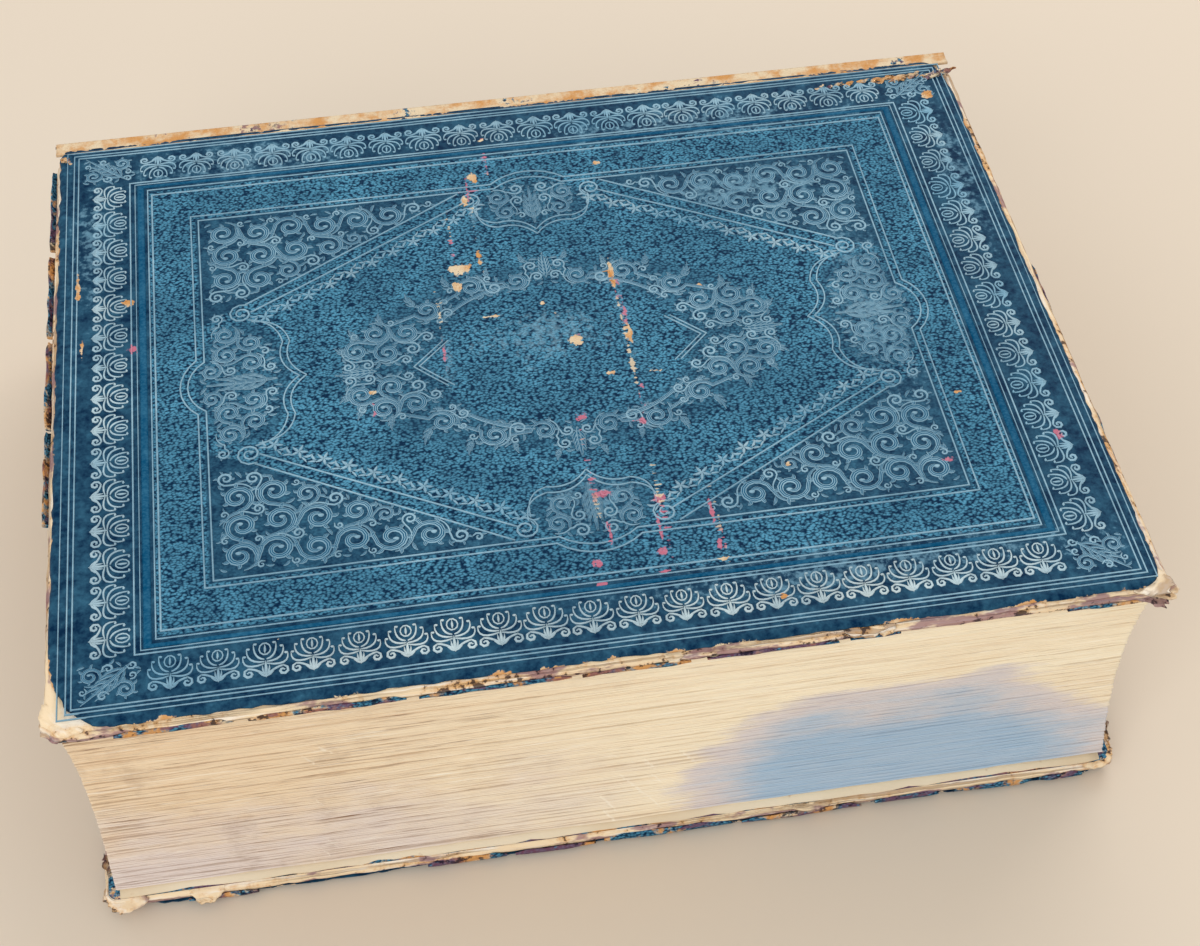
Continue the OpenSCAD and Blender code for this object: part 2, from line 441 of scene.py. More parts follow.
def paperFinish(name, warm=0.0):
    finish, wire, place = newFinish(name)
    cloud = place.noise(14.0, 5.0, 0.6)
    fox = place.noise(160.0, 3.0, 0.55).step(0.66, 0.74) * place.noise(20.0, 2.0).step(0.45, 0.6)
    acrossX = abs(place.axis("X"))
    margin = (acrossX + (cloud - 0.5) * 0.05).step(0.125, 0.155)
    colour = (cloud.step(0.35, 0.7) * 0.6 + margin * 0.35 + warm).clip().mix(paper["light"], paper["shade"])
    colour = (fox * 0.6).mix(colour, paper["fox"])
    fibre = place.stretch((900.0, 300.0, 900.0)).noise(1.0, 3.0, 0.6)
    closeFinish(wire, colour, 0.88, fibre, 0.00006, 0.6)
    return finish


def clothFinish(name, light, dark, thread):
    # plain weave: two crossed sets of threads
    finish, wire, place = newFinish(name)
    acrossThreads = place.axis("X") * (2 * math.pi / thread)
    alongThreads = (place.axis("Z") + place.axis("Y")) * (2 * math.pi / thread)
    weave = acrossThreads.maths("SINE", acrossThreads) * acrossThreads.maths("SINE", alongThreads)
    cloud = place.noise(60.0, 4.0)
    colour = (weave * 0.3 + cloud * 0.7).clip().mix(light, dark)
    closeFinish(wire, colour, 0.9, weave, 0.0002, 0.8)
    return finish


def threadFinish(name):
    # two silks wound in turn over a core
    finish, wire, place = newFinish(name)
    turn = place.axis("Z") * (2 * math.pi / 0.0062)
    change = turn.maths("SINE", turn).step(-0.12, 0.12)
    cloud = place.noise(300.0, 3.0)
    colour = change.mix(rgb(228, 214, 188), rgb(52, 92, 132))
    colour = (cloud.step(0.45, 0.7) * 0.4).mix(colour, rgb(150, 130, 104))
    closeFinish(wire, colour, 0.55, place.noise(2400.0, 2.0), 0.0001, 0.5)
    return finish


def glueFinish(name):
    finish, wire, place = newFinish(name)
    cloud = place.noise(80.0, 4.0)
    colour = cloud.mix(rgb(176, 132, 78), rgb(120, 82, 44))
    closeFinish(wire, colour, 0.35 + cloud * 0.3, cloud, 0.0006, 0.6)
    return finish


coverLeatherFinish = leatherFinish("pebbledBlueLeather")
bandLeatherFinish = leatherFinish("pressedBlueLeather", "pressed")
toolingFinish = leatherFinish("tooledBlueLeather", "tooled")
frayedLeatherFinish = leatherFinish("frayedBlueLeather", "frayed")
wornBoardFinish = boardFinish("wornMillboard")
leafEdgeFinish = pageEdgeFinish("leafEdges")
leafFinish = paperFinish("foxedLeaf")
pastedownFinish = paperFinish("pastedownPaper", warm=0.25)
liningFinish = paperFinish("spineLiningPaper", warm=0.5)
mullFinish = clothFinish("mullCloth", rgb(214, 204, 180), rgb(168, 152, 122), 0.0016)
tapeFinish = clothFinish("linenTape", rgb(226, 214, 190), rgb(180, 162, 130), 0.0009)
silkFinish = threadFinish("headbandSilk")
oldGlueFinish = glueFinish("oldGlue")
print("finishes made:", len(bpy.data.materials))


def wobble(values, scale, seed):
    # smooth noise along a line, -1 to 1
    values = np.asarray(values, float) / scale
    cell = np.floor(values)
    share = values - cell
    share = share * share * (3 - 2 * share)

    def pick(number):
        wave = np.sin(number * 127.1 + seed * 311.7) * 43758.5453
        return 2 * (wave - np.floor(wave)) - 1
    return pick(cell) * (1 - share) + pick(cell + 1) * share


def waves(across, along, scale, seed):
    # smooth noise over a surface, -1 to 1
    across = np.asarray(across, float) / scale
    along = np.asarray(along, float) / scale
    cellA = np.floor(across)
    cellB = np.floor(along)
    shareA = across - cellA
    shareB = along - cellB
    shareA = shareA * shareA * (3 - 2 * shareA)
    shareB = shareB * shareB * (3 - 2 * shareB)

    def pick(first, second):
        wave = np.sin(first * 127.1 + second * 269.5 + seed * 311.7) * 43758.5453
        return 2 * (wave - np.floor(wave)) - 1
    low = pick(cellA, cellB) * (1 - shareA) + pick(cellA + 1, cellB) * shareA
    high = pick(cellA, cellB + 1) * (1 - shareA) + pick(cellA + 1, cellB + 1) * shareA
    return low * (1 - shareB) + high * shareB


def together(x, y, z):
    return np.stack([x, y, z], -1)


def smooth(value):
    value = np.clip(value, 0, 1)
    return value * value * (3 - 2 * value)


def makePiece(name, points, faces, finish, marks=None, flip=False):
    # points in millimetres
    if flip:
        faces = [tuple(reversed(face)) for face in faces]
    mesh = bpy.data.meshes.new(name)
    mesh.from_pydata((np.asarray(points, float) * mm).tolist(), [], [tuple(face) for face in faces])
    mesh.polygons.foreach_set("use_smooth", [True] * len(mesh.polygons))
    for key, values in (marks or {}).items():
        layer = mesh.attributes.new(key, "FLOAT", "POINT")
        layer.data.foreach_set("value", np.asarray(values, np.float32))
    mesh.materials.append(finish)
    mesh.update()
    piece = bpy.data.objects.new(name, mesh)
    bpy.context.scene.collection.objects.link(piece)
    return piece


def settle(piece, body, slot, *nodes):
    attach(piece, body)
    if nodes:
        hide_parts(*nodes)
    return piece


def sheetShell(top, bottom):
    # a closed sheet from two grids of points; top faces out when its rows and columns run like x and y
    rows, columns = top.shape[:2]
    count = rows * columns
    points = np.concatenate([top.reshape(-1, 3), bottom.reshape(-1, 3)])
    index = np.arange(count).reshape(rows, columns)
    a, b, c, d = index[:-1, :-1], index[1:, :-1], index[1:, 1:], index[:-1, 1:]
    upper = np.stack([a, b, c, d], -1).reshape(-1, 4)
    lower = np.stack([d, c, b, a], -1).reshape(-1, 4) + count
    rim = np.concatenate([index[:, 0], index[-1, 1:], index[-2::-1, -1], index[0, -2:0:-1]])
    after = np.roll(rim, -1)
    wall = np.stack([rim + count, after + count, after, rim], -1)
    return points, np.concatenate([upper, lower, wall]).tolist()


def loopShell(rings, hollow=False):
    # rings of points that run anticlockwise seen from above, from the top inwards edge outwards and down;
    # closed by a flat face at each end, or joined into a tube if hollow
    rings = np.asarray(rings, float)
    rows, count = rings.shape[:2]
    faces = []
    last = rows if hollow else rows - 1
    for row in range(last):
        below = (row + 1) % rows
        for spot in range(count):
            after = (spot + 1) % count
            faces.append((row * count + spot, below * count + spot, below * count + after,
                          row * count + after))
    if not hollow:
        faces.append(tuple(range(count)))
        faces.append(tuple((rows - 1) * count + spot for spot in reversed(range(count))))
    return rings.reshape(-1, 3), faces


def roundedRing(box, radii, inset, sidePoints, cornerPoints=7):
    # box is (x0, x1, y0, y1); radii for the corners (x0,y0), (x1,y0), (x1,y1), (x0,y1)
    x0, x1, y0, y1 = box[0] + inset, box[1] - inset, box[2] + inset, box[3] - inset
    corners = [(x0, y0, math.pi, 1, 1), (x1, y0, 1.5 * math.pi, -1, 1), (x1, y1, 0, -1, -1),
               (x0, y1, 0.5 * math.pi, 1, -1)]
    arcs = []
    for (cornerX, cornerY, start, inX, inY), radius in zip(corners, radii):
        radius = max(radius - inset, 0.4)
        middle = (cornerX + inX * radius, cornerY + inY * radius)
        turns = np.linspace(start, start + math.pi / 2, cornerPoints)
        arcs.append(np.stack([middle[0] + radius * np.cos(turns), middle[1] + radius * np.sin(turns)], -1))
    path = []
    for place, arc in enumerate(arcs):
        path.append(arc)
        after = arcs[(place + 1) % 4][0]
        count = sidePoints[place % 2]
        shares = np.linspace(0, 1, count + 2)[1:-1, None]
        path.append(arc[-1] * (1 - shares) + after * shares)
    return np.concatenate(path)


# where the leather is worn through, in millimetres from the middle of the design: x, y, half sizes
wornSpots = {
    "wear": [
        (-28, 39, 4.2, 3.4), (-29, 31, 2.0, 3.4), (-18, 84, 1.8, 3), (-22, 73, 1.2, 4), (-13, 103, 2, 1.2),
        (25, 85, 1.4, 1.6), (-20, 16, 4, 1.0), (5, 1, 3.0, 2.6), (6, -7, 0.8, 4), (-3, 20, 1.2, 1.2),
        (1, 14, 1.2, 1),
        (27, -15, 2.4, 1.2), (14, -14, 1.6, 1.2), (48, 20, 1.8, 1), (-134, 41, 2.4, 1.6),
        (-60, -11, 1.2, 1),
        (146, 102, 2.4, 2.4), (48, -108, 1.6, 0.8), (60, -60, 1.4, 1.2), (-150, 50, 0.9, 8),
        (-149, 22, 0.8, 5),
        (20, -97, 2, 1.0), (34, -92, 1.8, 1), (-94, -100, 1.2, 1), (118, -40, 1.2, 1), (-20, 44, 0.8, 8),
        (21, 30, 1.2, 8), (22, 2, 1.2, 6),
    ],
    "blush": [
        (2, -31, 2.4, 1.8), (20, -36, 1.6, 1.6), (3, -63, 3, 1.8), (20, -67, 2.6, 2), (-2, -88, 1.6, 2),
        (-2, -96, 2, 1.4), (17, -87, 1.8, 1.6), (17, -94, 2.4, 1.0), (34, -87, 1, 3), (108, -66, 3, 1.0),
        (143, -61, 1.4, 2.4), (-36, 2, 0.8, 9), (22, 12, 0.9, 20), (22, -20, 0.8, 12), (-21, 78, 0.9, 8),
        (-133, 20, 1.6, 1.4), (3, -78, 0.8, 6), (18, -78, 0.9, 6), (34, -74, 0.7, 7),
    ],
    "tick": [
        (-36, 16, 0.9, 30), (-29, 56, 1.1, 22), (-20, 66, 0.9, 20), (1, -62, 1.4, 30), (6, 4, 0.8, 14),
        (21, -4, 1.2, 44),
        (20, -68, 1.5, 26), (35, -80, 1.2, 18), (-13, 92, 1.2, 14), (-60, -20, 0.8, 12),
    ],
    "scuff": [
        (-90, 106, 46, 9), (60, 100, 60, 8), (146, 60, 6, 40), (-146, 70, 6, 30), (22, 20, 1.6, 40),
        (-20, 60, 1.6, 22),
        (-36, 0, 1.6, 20), (0, -62, 14, 6), (70, -100, 70, 9), (-4, 6, 24, 14), (70, 64, 34, 10),
        (100, 0, 12, 40),
    ],
}


def wornAt(x, y):
    marks = {}
    for kind, spots in wornSpots.items():
        value = np.zeros(np.shape(x))
        for spotX, spotY, halfX, halfY in spots:
            reach = ((x - spotX) / (1.5 * halfX)) ** 2 + ((y - spotY) / (1.5 * halfY)) ** 2
            value = np.maximum(value, 1.05 * np.exp(-1.6 * reach))
        marks[kind] = value
    return marks


def coverRise(x, y):
    # the leather isn't quite flat: soft swells, a little lower in the middle
    hollow = 0.12 * np.exp(-(x / 90) ** 2 - (y / 60) ** 2)
    return 0.16 * waves(x, y, 42, 5) + 0.06 * waves(x, y, 11, 8) - hollow


# the sheet of leather on each cover; it ends short of the board's edge, where it has worn away
coverSheet = {
    "left": -157.3,
    "right": 156.2,
    "front": -121.7,
    "spacing": 1.6,
    "pastBoard": 2.2,
    "thickness": 1.1,
    "edgeDrop": 0.9,
    "fray": 0.9,
    "corners": {(-1, -1): (17.6, 26), (1, -1): (10, 7), (1, 1): (8, 15), (-1, 1): (4, 4)},
}


def edgedSteps(low, high, spacing, fineLow=True, fineHigh=True):
    # even steps, with close ones at the edges that roll over
    close = [0, 0.35, 0.8, 1.4, 2.2]
    start = low + close[-1] if fineLow else low
    end = high - close[-1] if fineHigh else high
    middle = np.linspace(start, end, int(round((end - start) / spacing)) + 1)
    front = [low + step for step in close[:-1]] if fineLow else []
    back = [high - step for step in reversed(close[:-1])] if fineHigh else []
    return np.concatenate([front, middle, back])


def coverPlace(x, y, z, mirrored):
    # from the design's own millimetres to the book's; the rear cover is the front one turned over
    height = topZ + z
    return together(x, patternY + y, topZ - height if mirrored else height)


def makeCoverSheet(name, mirrored, seed):
    sheet = coverSheet
    back = coverBackY - patternY + sheet["pastBoard"]
    xs = edgedSteps(sheet["left"], sheet["right"], sheet["spacing"])
    ys = edgedSteps(sheet["front"], back, sheet["spacing"], fineHigh=False)
    gridX, gridY = np.meshgrid(xs, ys, indexing="ij")
    fromEdge = np.minimum.reduce([gridX - xs[0], xs[-1] - gridX, gridY - ys[0]])
    x, y = gridX.copy(), gridY.copy()
    for (signX, signY), (halfX, halfY) in sheet["corners"].items():
        middleX = (xs[0] + halfX) if signX < 0 else (xs[-1] - halfX)
        middleY = (ys[0] + halfY) if signY < 0 else (ys[-1] - halfY)
        u = (gridX - middleX) * signX / halfX
        v = (gridY - middleY) * signY / halfY
        inside = (u > 0) & (v > 0)
        roundU = u * np.sqrt(np.maximum(1 - v * v / 2, 0))
        roundV = v * np.sqrt(np.maximum(1 - u * u / 2, 0))
        x = np.where(inside, middleX + signX * halfX * roundU, x)
        y = np.where(inside, middleY + signY * halfY * roundV, y)
    near = smooth(1 - fromEdge / 5)
    fray = 0.6 * waves(gridX, gridY, 9, seed) + 0.5 * waves(gridX, gridY, 3.1, seed + 1) - 0.3
    inward = np.stack([-np.sign(gridX) * (np.abs(gridX) > 140), np.sign(-gridY) * (gridY < -100)], -1)
    x = x + inward[..., 0] * np.abs(fray) * near * sheet["fray"]
    y = y + inward[..., 1] * np.abs(fray) * near * sheet["fray"]
    rise = coverRise(x, y)
    drop = sheet["edgeDrop"] * np.clip(1 - fromEdge / 1.5, 0, 1) ** 2
    lift = 0.35 * np.clip(1 - fromEdge / 6, 0, 1) * np.clip(waves(gridX, gridY, 14, seed + 3), 0, 1)
    top = coverPlace(x, y, rise - drop + lift - 0.05, mirrored)
    bottom = coverPlace(x, y, np.minimum(rise - drop + lift - 0.35,
                                         -sheet["thickness"] * 0.9 + 0 * rise), mirrored)
    points, faces = sheetShell(top, bottom)
    marks = wornAt(x, y)
    rim = np.clip(1 - fromEdge / 1.6, 0, 1)
    marks["wear"] = np.maximum(marks["wear"], rim * (0.5 + 0.5 * waves(gridX, gridY, 7, seed + 5)))
    backEdge = np.clip((gridY - (back - 2.4)) / 2.4, 0, 1)
    marks["wear"] = np.maximum(marks["wear"], backEdge * (0.5 + 0.5 * waves(gridX, gridY, 11, seed + 6)))
    doubled = {key: np.concatenate([value.ravel(), value.ravel()]) for key, value in marks.items()}
    return makePiece(name, points, faces, coverLeatherFinish, doubled, flip=mirrored)


frontLeather = makeCoverSheet("frontCoverLeather", False, 3)
settle(frontLeather, "front_cover", "blue_leather", "front_cover_leather")
rearLeather = makeCoverSheet("rearCoverLeather", True, 17)
settle(rearLeather, "rear_cover", "blue_leather", "rear_cover_leather")
print("leather laid on the covers")


# strokes of the design: each is a path with a width, pressed as a low ribbon
def bezier(start, control, end, count=9):
    share = np.linspace(0, 1, count)[:, None]
    start, control, end = (np.asarray(point, float) for point in (start, control, end))
    return (1 - share) ** 2 * start + 2 * share * (1 - share) * control + share ** 2 * end


def line(strokes, path, width=tooling["line"], closed=False, broad=False):
    strokes.append({"path": np.asarray(path, float), "width": width, "closed": closed, "broad": broad})


def leaf(strokes, x, y, heading, length, bend=0.0, width=1.6, count=6, broad=True):
    # a pointed blade that turns by bend radians over its length
    shares = np.linspace(0, 1, count)
    headings = heading + bend * (shares[:-1] + shares[1:]) / 2
    steps = np.stack([np.cos(headings), np.sin(headings)], -1) * (length / (count - 1))
    path = np.concatenate([[(x, y)], (x, y) + np.cumsum(steps, 0)])
    body = width * (0.12 + 0.88 * np.sin(math.pi * np.clip(shares, 0, 1) ** 0.8) ** 0.8)
    line(strokes, path, np.maximum(body, 0.16), broad=broad)
    return path


def bead(strokes, x, y, radius):
    path = [(x - radius, y), (x - radius * 0.55, y), (x, y), (x + radius * 0.55, y), (x + radius, y)]
    line(strokes, path, np.array([0.5, 1.7, 2.1, 1.7, 0.5]) * radius)


def curl(strokes, x, y, radius, start, turns=1.4, hand=1, width=None, count=None, end=0.22, stem=None):
    # a volute that winds in from its rim; returns its outer path
    width = width or radius * 0.3
    count = count or max(int((9 + radius) * turns), 8)
    shares = np.linspace(0, 1, count)
    angles = start + hand * 2 * math.pi * turns * shares
    reach = radius * (1 - (1 - end) * shares ** 0.85)
    path = np.stack([x + reach * np.cos(angles), y + reach * np.sin(angles)], -1)
    body = width * (0.35 + 0.75 * np.sin(math.pi * np.clip(shares * 0.9 + 0.1, 0, 1)) ** 0.7)
    if stem:  # the stem swings round its neighbour before it winds the other way
        stemX, stemY, stemRadius, reach = stem
        swing = start + math.pi + hand * np.linspace(reach, 0.12, 8)
        lead = np.stack([stemX + stemRadius * np.cos(swing), stemY + stemRadius * np.sin(swing)], -1)
        path = np.concatenate([lead, path])
        body = np.concatenate([np.linspace(0.3, body[1], 8), np.maximum(body, body[1] * (shares < 0.3))])
    line(strokes, path, np.maximum(body, 0.3), broad=width > 1.1)
    bead(strokes, path[-1][0], path[-1][1], radius * 0.17)
    return path


def spray(strokes, x, y, heading, length, bend=0.0, pairs=3, width=1.4, spread=0.85):
    # a leaf with side lobes
    path = leaf(strokes, x, y, heading, length, bend, width, count=8)
    for number in range(pairs):
        share = 0.18 + 0.62 * number / pairs
        spot = path[int(share * 7)]
        turned = heading + bend * share
        reach = length * 0.42 * (1 - 0.55 * share)
        for side in (-1, 1):
            leaf(strokes, spot[0], spot[1], turned + side * spread, reach, -side * 0.9, width * 0.75,
                 count=5)
    return path


def fourWays(strokes):
    # the design is the same in all four quarters
    turned = []
    for signX in (1, -1):
        for signY in (1, -1):
            for stroke in strokes:
                copy = dict(stroke)
                copy["path"] = stroke["path"] * (signX, signY)
                turned.append(copy)
    return turned


def lobedFrame(halfX, halfY, lobeX, spanY, lobeY, spanX):
    # a rectangle whose sides swell into a half-round in their middles
    def arc(reach, span, count=9):
        radius = (span * span + reach * reach) / (2 * reach)
        widest = math.asin(min(span / radius, 1))
        turns = np.linspace(-widest, widest, count)
        return radius * np.cos(turns) - (radius - reach), radius * np.sin(turns)

    def side(start, end, count=12):
        share = np.linspace(0, 1, count)[:, None]
        return np.asarray(start) * (1 - share) + np.asarray(end) * share
    out, along = arc(lobeX, spanY)
    right = np.stack([halfX + out, along], -1)
    out, along = arc(lobeY, spanX)
    top = np.stack([-along, halfY + out], -1)
    path = [side((halfX, -halfY), (halfX, -spanY))[:-1], right, side((halfX, spanY), (halfX, halfY))[1:],
            side((halfX, halfY), (spanX, halfY))[1:-1], top, side((-spanX, halfY), (-halfX, halfY))[1:],
            side((-halfX, halfY), (-halfX, spanY))[1:-1], -right,
            side((-halfX, -spanY), (-halfX, -halfY))[1:],
            side((-halfX, -halfY), (-spanX, -halfY))[1:-1], -top,
            side((spanX, -halfY), (halfX, -halfY))[1:-1]]
    return np.concatenate(path)


sectionFine = (np.array([-1.0, -0.4, 0.4, 1.0]), np.array([0.0, 1.0, 1.0, 0.0]))
sectionBroad = (np.array([-1.0, -0.68, 0.0, 0.68, 1.0]), np.array([0.0, 1.0, 0.6, 1.0, 0.0]))


def ribbons(strokes, placeOf, rise=tooling["rise"]):
    # all the strokes as closed low ribbons, with the share across each as a mark
    points, faces, across, flat = [], [], [], []
    count = 0
    for stroke in strokes:
        path = stroke["path"]
        width = np.broadcast_to(stroke["width"], len(path))
        if stroke["closed"]:
            before, after = np.roll(path, 1, 0), np.roll(path, -1, 0)
        else:
            before = np.vstack([2 * path[:1] - path[1:2], path[:-1]])
            after = np.vstack([path[1:], 2 * path[-1:] - path[-2:-1]])
        coming = path - before
        going = after - path
        coming = coming / np.maximum(np.linalg.norm(coming, axis=1, keepdims=True), 1e-9)
        going = going / np.maximum(np.linalg.norm(going, axis=1, keepdims=True), 1e-9)
        ahead = coming + going
        ahead = ahead / np.maximum(np.linalg.norm(ahead, axis=1, keepdims=True), 1e-9)
        mitre = 1 / np.maximum((ahead * going).sum(1), 0.55)
        left = np.stack([-ahead[:, 1], ahead[:, 0]], -1) * (width * mitre / 2)[:, None]
        shares, heights = sectionBroad if stroke["broad"] else sectionFine
        rows = len(shares)
        spots = path[:, None, :] + left[:, None, :] * shares[None, :, None]
        x, y = spots[..., 0].ravel(), spots[..., 1].ravel()
        height = np.where(heights > 0, heights * rise, -tooling["sink"])
        z = np.tile(height, len(path))
        points.append(placeOf(x, y, z))
        flat.append(np.stack([x, y], -1))
        across.append(np.tile(shares if stroke["broad"] else shares * 0.1, len(path)))
        steps = len(path) if stroke["closed"] else len(path) - 1
        for place in range(steps):
            here = count + place * rows
            there = count + ((place + 1) % len(path)) * rows
            for row in range(rows):
                up = (row + 1) % rows
                faces.append((here + row, there + row, there + up, here + up))
        if not stroke["closed"]:
            faces.append(tuple(count + row for row in range(rows)))
            end = count + (len(path) - 1) * rows
            faces.append(tuple(end + row for row in reversed(range(rows))))
        count += len(path) * rows
    flat = np.concatenate(flat)
    marks = {"across": np.concatenate(across), "bright": np.full(len(flat), tooling["shine"])}
    marks.update(wornAt(flat[:, 0], flat[:, 1]))
    return np.concatenate(points), faces, marks


# straight lines and bands round the cover, from the edge inwards: half length, half height, width, rise
frameLines = {
    "fine": [(154.3, 118.2, 0.45), (152.0, 116.5, 0.6), (150.5, 115.2, 0.6), (133.3, 99.4, 0.7),
             (131.6, 98.2, 0.4),
             (127.4, 94.9, 0.6), (126.0, 92.2, 0.8)],
    "band": ((131.2, 97.9), (128.2, 96.0), 0.24),
}


def rectangle(halfX, halfY, across=52, along=40):
    shareX = np.linspace(-1, 1, across + 1)[:-1]
    shareY = np.linspace(-1, 1, along + 1)[:-1]
    return np.concatenate([
        np.stack([shareX * halfX, np.full(across, -halfY)], -1),
        np.stack([np.full(along, halfX), shareY * halfY], -1),
        np.stack([-shareX * halfX, np.full(across, halfY)], -1),
        np.stack([np.full(along, -halfX), -shareY * halfY], -1)])


lineStrokes = []
for halfX, halfY, width in frameLines["fine"]:
    line(lineStrokes, rectangle(halfX, halfY), width, closed=True)
line(lineStrokes, lobedFrame(113.4, 79.1, 5.2, 11.5, 4.9, 12.5), 0.7, closed=True)
line(lineStrokes, lobedFrame(110.9, 76.8, 5.4, 10.5, 4.2, 11.5), 0.7, closed=True)

quarter = []
line(quarter, bezier((97.2, 34.3), (60.5, 55.2), (24.2, 76.0), 14), 0.75)
line(quarter, bezier((95.6, 30.6), (59, 51.0), (22.2, 71.4), 14), 0.75)
curl(quarter, 98.6, 30.2, 4.4, 2.1, 1.7, -1, width=0.85, count=18)
curl(quarter, 20.6, 72.2, 4.4, -1.05, 1.7, -1, width=0.85, count=18)
for shift in (0.0, 2.2):  # the brackets that cut into the field
    line(quarter, bezier((95.5 + shift * 0.5, 26.3 + shift * 0.4), (85.5 + shift, 25.5),
                         (84 + shift, 15.6)), 0.65)
    line(quarter, bezier((84 + shift, 15.6), (87.5 + shift, 6.5), (79.6 + shift, 0)), 0.65)
    line(quarter, bezier((18.6 + shift * 0.4, 68.2), (19.5, 58.8 + shift), (12.5, 57.4 + shift)), 0.65)
    line(quarter, bezier((12.5, 57.4 + shift), (4.8, 59.2 + shift), (0, 52.4 + shift)), 0.65)
lineStrokes += fourWays(quarter)
for signX in (1, -1):
    for shift in (0.0, 1.8):  # pointed brackets at the sides of the oval
        path = np.array([(34.6 + shift, 9.8), (39.6 + shift, 4.9), (44.6 + shift, 0),
                         (39.6 + shift, -4.9), (34.6 + shift, -9.8)])
        line(lineStrokes, path * (signX, 1) + (0, -2.0), 0.6)

# foliage fills a region: the roomiest spot takes the largest volute, then the next,
# and leaves fill what is left
foliage = {
    "spacing": 0.5,
    "largest": 5.6,
    "smallest": 0.95,
    "stemWidth": 0.34,
    "leafLength": 0.62,
    "edgeRoom": 0.55,
}


def fillRegion(strokes, inside, box, largest=foliage["largest"], smallest=foliage["smallest"], hand=1,
               keep=()):
    # inside(x, y) is how far a point is from the region's edge, in millimetres, above 0 within it
    xs = np.arange(box[0], box[1], foliage["spacing"])
    ys = np.arange(box[2], box[3], foliage["spacing"])
    x, y = (grid.ravel() for grid in np.meshgrid(xs, ys, indexing="ij"))
    room = inside(x, y) - foliage["edgeRoom"]
    for spotX, spotY, radius in keep:
        room = np.minimum(room, np.hypot(x - spotX, y - spotY) - radius)
    placed = []
    while True:
        capped = np.minimum(room, largest) - 0.004 * np.hypot(x - box[1], y - box[3])
        best = int(np.argmax(capped))
        radius = min(room[best], largest)
        if radius < smallest:
            break
        spotX, spotY = x[best], y[best]
        nearest = None
        if placed:
            gaps = [math.hypot(spotX - other[0], spotY - other[1]) - other[2] - radius for other in placed]
            nearest = placed[int(np.argmin(gaps))]
            start = math.atan2(nearest[1] - spotY, nearest[0] - spotX)
            turn = -nearest[3]
        else:
            start, turn = 2.6, hand
        placed.append((spotX, spotY, radius, turn))
        room = np.minimum(room, np.hypot(x - spotX, y - spotY) - radius * 0.97)
        number = len(placed)
        if radius > 2.1:
            stem = None
            if nearest and nearest[2] > 1.8:
                stem = (nearest[0], nearest[1], nearest[2] * 0.98, 1.5)
            curl(strokes, spotX, spotY, radius * 0.93, start, 1.4, turn,
                 width=max(radius * foliage["stemWidth"], 0.9), stem=stem)
            for step in range(5):
                angle = start + turn * (0.9 + step * 1.05)
                reach = radius * (0.80 - 0.07 * step)
                leaf(strokes, spotX + reach * math.cos(angle), spotY + reach * math.sin(angle),
                     angle + turn * 0.7,
                     radius * foliage["leafLength"] * (1 - 0.1 * step), -turn * 1.5, radius * 0.27, 5)
        elif radius > 1.45:
            curl(strokes, spotX, spotY, radius * 0.9, start, 1.1, turn, width=radius * 0.42, count=9)
            leaf(strokes, spotX + radius * 0.7 * math.cos(start + turn * 2),
                 spotY + radius * 0.7 * math.sin(start + turn * 2),
                 start + turn * 3.2, radius * 1.1, -turn, radius * 0.4, 5)
        else:
            heading = start + math.pi + (0.9 if number % 2 else -0.9)
            leaf(strokes, spotX - radius * 1.1 * math.cos(heading),
                 spotY - radius * 1.1 * math.sin(heading), heading,
                 radius * 2.4, 0.8 if number % 2 else -0.8, radius * 0.85, 5)
    return placed


def beyondLine(x, y, start, end):
    # distance to the left of a line
    length = math.hypot(end[0] - start[0], end[1] - start[1])
    return ((end[0] - start[0]) * (y - start[1]) - (end[1] - start[1]) * (x - start[0])) / length


def oval(x, y, middleX, middleY, halfX, halfY):
    reach = np.hypot((x - middleX) / halfX, (y - middleY) / halfY)
    return (1 - reach) * min(halfX, halfY)


def cornerRoom(x, y):
    return np.minimum.reduce([109.6 - x, 75.6 - y, beyondLine(x, y, (24.2, 76.0), (97.2, 34.3)),
                              y - 36.0 + (x - 100) * 0.2])


def sideRoom(x, y):
    swell = 109.4 + np.where(y < 10.5, 5.0 * np.sqrt(np.clip(1 - (y / 10.5) ** 2, 0, 1)), 0)
    bracket = 86.6 + 2.4 * smooth(y / 12) + 11 * smooth((y - 14) / 14)
    return np.minimum.reduce([swell - x, x - bracket, 33 - y])


def topRoom(x, y):
    swell = 75.4 + np.where(x < 11.5, 4.0 * np.sqrt(np.clip(1 - (x / 11.5) ** 2, 0, 1)), 0)
    bracket = 55.4 + 4.6 * smooth(x / 6) + 11 * smooth((x - 9) / 9)
    return np.minimum.reduce([swell - y, y - bracket, 21 - x])


def wreathRoom(x, y):
    body = np.maximum.reduce([oval(x, y, 53, 5, 17, 18), oval(x, y, 0, 37, 8.0, 8.5),
                              oval(x, y, 23, 32, 13, 6.6),
                              oval(x, y, 38, 23.5, 8, 7.5), oval(x, y, 10, 33, 8, 5.0)])
    bracket = np.maximum(x - 48.4 + 0.75 * y, y - 9)
    return np.minimum.reduce([body, -oval(x, y, 0, 0, 38.5, 28.5), bracket + 0 * x])


def mirroredRoom(room, alongX):
    # keeps volutes off the axis that they are mirrored over
    return lambda x, y: np.minimum(room(x, y), (y if alongX else x) - 0.1)


